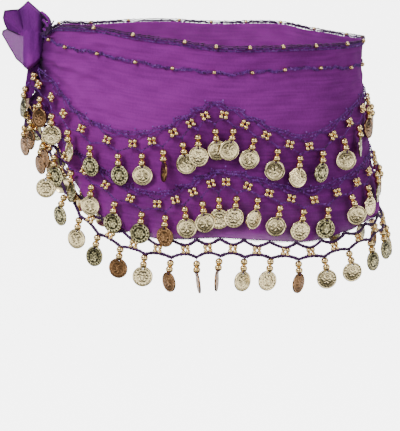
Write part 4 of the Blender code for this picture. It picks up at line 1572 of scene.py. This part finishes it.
def makeNet(line):
    form, net = netForm, NetLine(line)
    stitches = hemStitches if line == "hem" else tierStitches
    node, rng = [net.rows["node"]], random.Random(net.rows["seed"])
    drops = dropLooks(net, rng)
    cords = []
    made = {"beads": [], "lumps": [], "coins": [], "threads": []}
    for k in range(net.last):
        cords += spanCords(net, k, drops)
        made["beads"] += spanBeads(net, k, rng)
        if line != "hem":
            made["lumps"].append(spanPicot(net, k, rng))
    for k in (0, net.last):
        end = net.turnAt(k)
        cords.append(net.path(np.full(6, end), np.linspace(0.5, form["joint"], 6)))
        middle, across, up, out = net.frame(end, form["endCluster"])
        made["beads"] += beadCluster(middle, across, up, out, rng)
    for drop in drops:
        hangDrop(net, drop, rng, made)

    addChain(line + "Header", headerPaths(net), node, *stitches["header"])
    addChain(line + "Cords", cords, node, *stitches["cords"])
    if line == "hem":
        addTubes(line + "CordCores", cords, node, form["hemCore"])
    addTubes(line + "Threads", made["threads"], node, form["thread"])
    addCopies(line + "Lumps", made["lumps"], node, [threadLump], [crochet])
    addCopies(line + "Beads", made["beads"], node, [dropBead, smallBead], [goldBead])
    addCopies(line + "Coins", made["coins"], node, coinShapes, coinMetals)


for line in netRows:
    makeNet(line)
    print("stage:", line, "net made")

towardsFront = np.array([0, -1.0, 0])


# the ties' edges, rolled and overcast with thread
def makeTieRims():
    rims = []
    for points in (tieUpPoints, tieDownPoints):
        for edge in (points[-1], points[6:, 0], points[6:, -1]):
            rims.append((edge, towardsFront))
    addTubes("tieRims", rims, ["tail_up", "tail_down"], tieForm["rim"])


# the rolled loops of chiffon beside the upper tie end, each seamed along both sides
def makeTieLoops():
    form = tieForm["loop"]
    loops, seams = [], []
    for bends in tieForm["loops"]:
        bends = np.array(bends, dtype=float)
        at = np.linspace(0, 3, 19)
        across, rise = (along(np.column_stack([np.arange(4), bends[:, k]]), at) for k in (0, 1))
        forward = tieForm["face"] - form["behind"] - form["bulge"] * np.sin(np.pi * at / 3)
        path = np.stack([across, forward, rise], axis=-1)
        loops.append((path * mm, towardsFront))
        for aside, ahead in form["seamPlaces"]:
            seams.append(((path + np.array([aside, -ahead, 0])) * mm, towardsFront))
    values = {"Radius": form["radius"] * mm, "Thread": foldedChiffon}
    rolls = grow("tieLoops", wireMesh("tieLoops", loops), tubeTree, values)
    setValues(rolls, "layers", np.ones(len(rolls.vertices)))
    setValues(rolls, "dye", np.full(len(rolls.vertices), form["dye"]))
    addPiece("tieLoops", rolls, ["tail_up"])
    addTubes("tieLoopSeams", seams, ["tail_up"], form["seam"])


makeTieRims()
makeTieLoops()

for shape in (dropBead, smallBead, threadLump, *coinShapes):
    bpy.data.objects.remove(shape)
total = 0
for piece in bpy.data.objects:
    if piece.type == "MESH" and not piece.hide_render:
        piece.data.calc_loop_triangles()
        total += len(piece.data.loop_triangles)
        print("triangles", piece.name, len(piece.data.loop_triangles))
print("stage: all pieces made,", total, "triangles")

# floor and lights
studioForm = {
    "floor": -0.95,
    "reach": 45.0,
    "floorLight": 5.0,
    "worldLight": 0.7,
    "rampTop": 4.0,
    # height of a direction, and how bright the studio is there: white table, dark room, white ceiling card
    "room": (
        (0.0, 0.25), (0.31, 0.12), (0.335, 3.6), (0.445, 3.3), (0.468, 0.06), (0.62, 0.04), (0.67, 0.06),
        (0.7, 1.5), (0.86, 1.5), (0.92, 0.25), (1.0, 0.25),
    ),
    # the same across, from the left to the right: a dark flat stands to the right of the middle
    "across": ((0.0, 1.1), (0.53, 1.15), (0.56, 0.25), (0.62, 0.25), (0.65, 1.15), (1.0, 1.1)),
    "aim": (0, 0, -0.1),
    # place, size, watts, colour
    "softboxes": {
        "keyLight": ((-1.3, -1.5, 1.7), (0.8, 0.8), 44, (1.0, 0.98, 0.97)),
        "fillLight": ((1.7, -1.5, 0.5), (0.6, 1.0), 9, (1.0, 0.97, 0.94)),
        "backLight": ((0.2, 1.6, 1.3), (1.4, 0.8), 26, (1.0, 1.0, 1.0)),
    },
}


# pale paper, lit from within so that it shows pale and throws no light up into the cloth
def makeFloor():
    form, reach = studioForm, studioForm["reach"]
    mesh = bpy.data.meshes.new("floor")
    corners = [(x * reach, y * reach, form["floor"]) for x, y in ((-1, -1), (1, -1), (1, 1), (-1, 1))]
    mesh.from_pydata(corners, [], [(0, 1, 2, 3)])
    floor = bpy.data.objects.new("floor", mesh)
    bpy.context.scene.collection.objects.link(floor)
    paper, _, shader = newMaterial("palePaper", Roughness=0.9, Emission_Strength=form["floorLight"])
    shader.inputs["Base Color"].default_value = linear("#F6F5F7")
    shader.inputs["Emission Color"].default_value = linear("#FFFFFF")
    mesh.materials.append(paper)
    floor.visible_diffuse = False
    floor.visible_glossy = False


def addSoftbox(name, place, size, power, colour):
    data = bpy.data.lights.new(name, "AREA")
    data.shape = "RECTANGLE"
    data.size, data.size_y = size
    data.energy = power
    data.color = colour
    made = bpy.data.objects.new(name, data)
    made.location = place
    made.rotation_euler = (Vector(studioForm["aim"]) - Vector(place)).to_track_quat("-Z", "Y").to_euler()
    bpy.context.scene.collection.objects.link(made)


# what the metal mirrors and the cloth is lit by, as two ramps multiplied
def makeWorld():
    form, top = studioForm, studioForm["rampTop"]
    world = bpy.data.worlds.new("studio")
    world.use_nodes = True
    tree = world.node_tree
    towards = addNode(tree, "ShaderNodeTexCoord").outputs["Generated"]
    way = addNode(tree, "ShaderNodeSeparateXYZ", {0: towards})
    ramps = []
    for axis, stops in (("Z", form["room"]), ("X", form["across"])):
        greys = [(place, (level / top, level / top, level / top, 1)) for place, level in stops]
        share = addNode(tree, "ShaderNodeMapRange", fromTo(way.outputs[axis], -1, 1, 0, 1))
        ramps.append(setStops(addNode(tree, "ShaderNodeValToRGB", {"Fac": share}), greys))
    lit = addNode(tree, "ShaderNodeVectorMath", {0: ramps[0], 1: ramps[1]}, operation="MULTIPLY")
    background = tree.nodes["Background"]
    tree.links.new(lit.outputs[0], background.inputs["Color"])
    background.inputs["Strength"].default_value = top * top * form["worldLight"]
    bpy.context.scene.world = world


makeFloor()
for name, softbox in studioForm["softboxes"].items():
    addSoftbox(name, *softbox)
makeWorld()
print("stage: floor and lights placed")
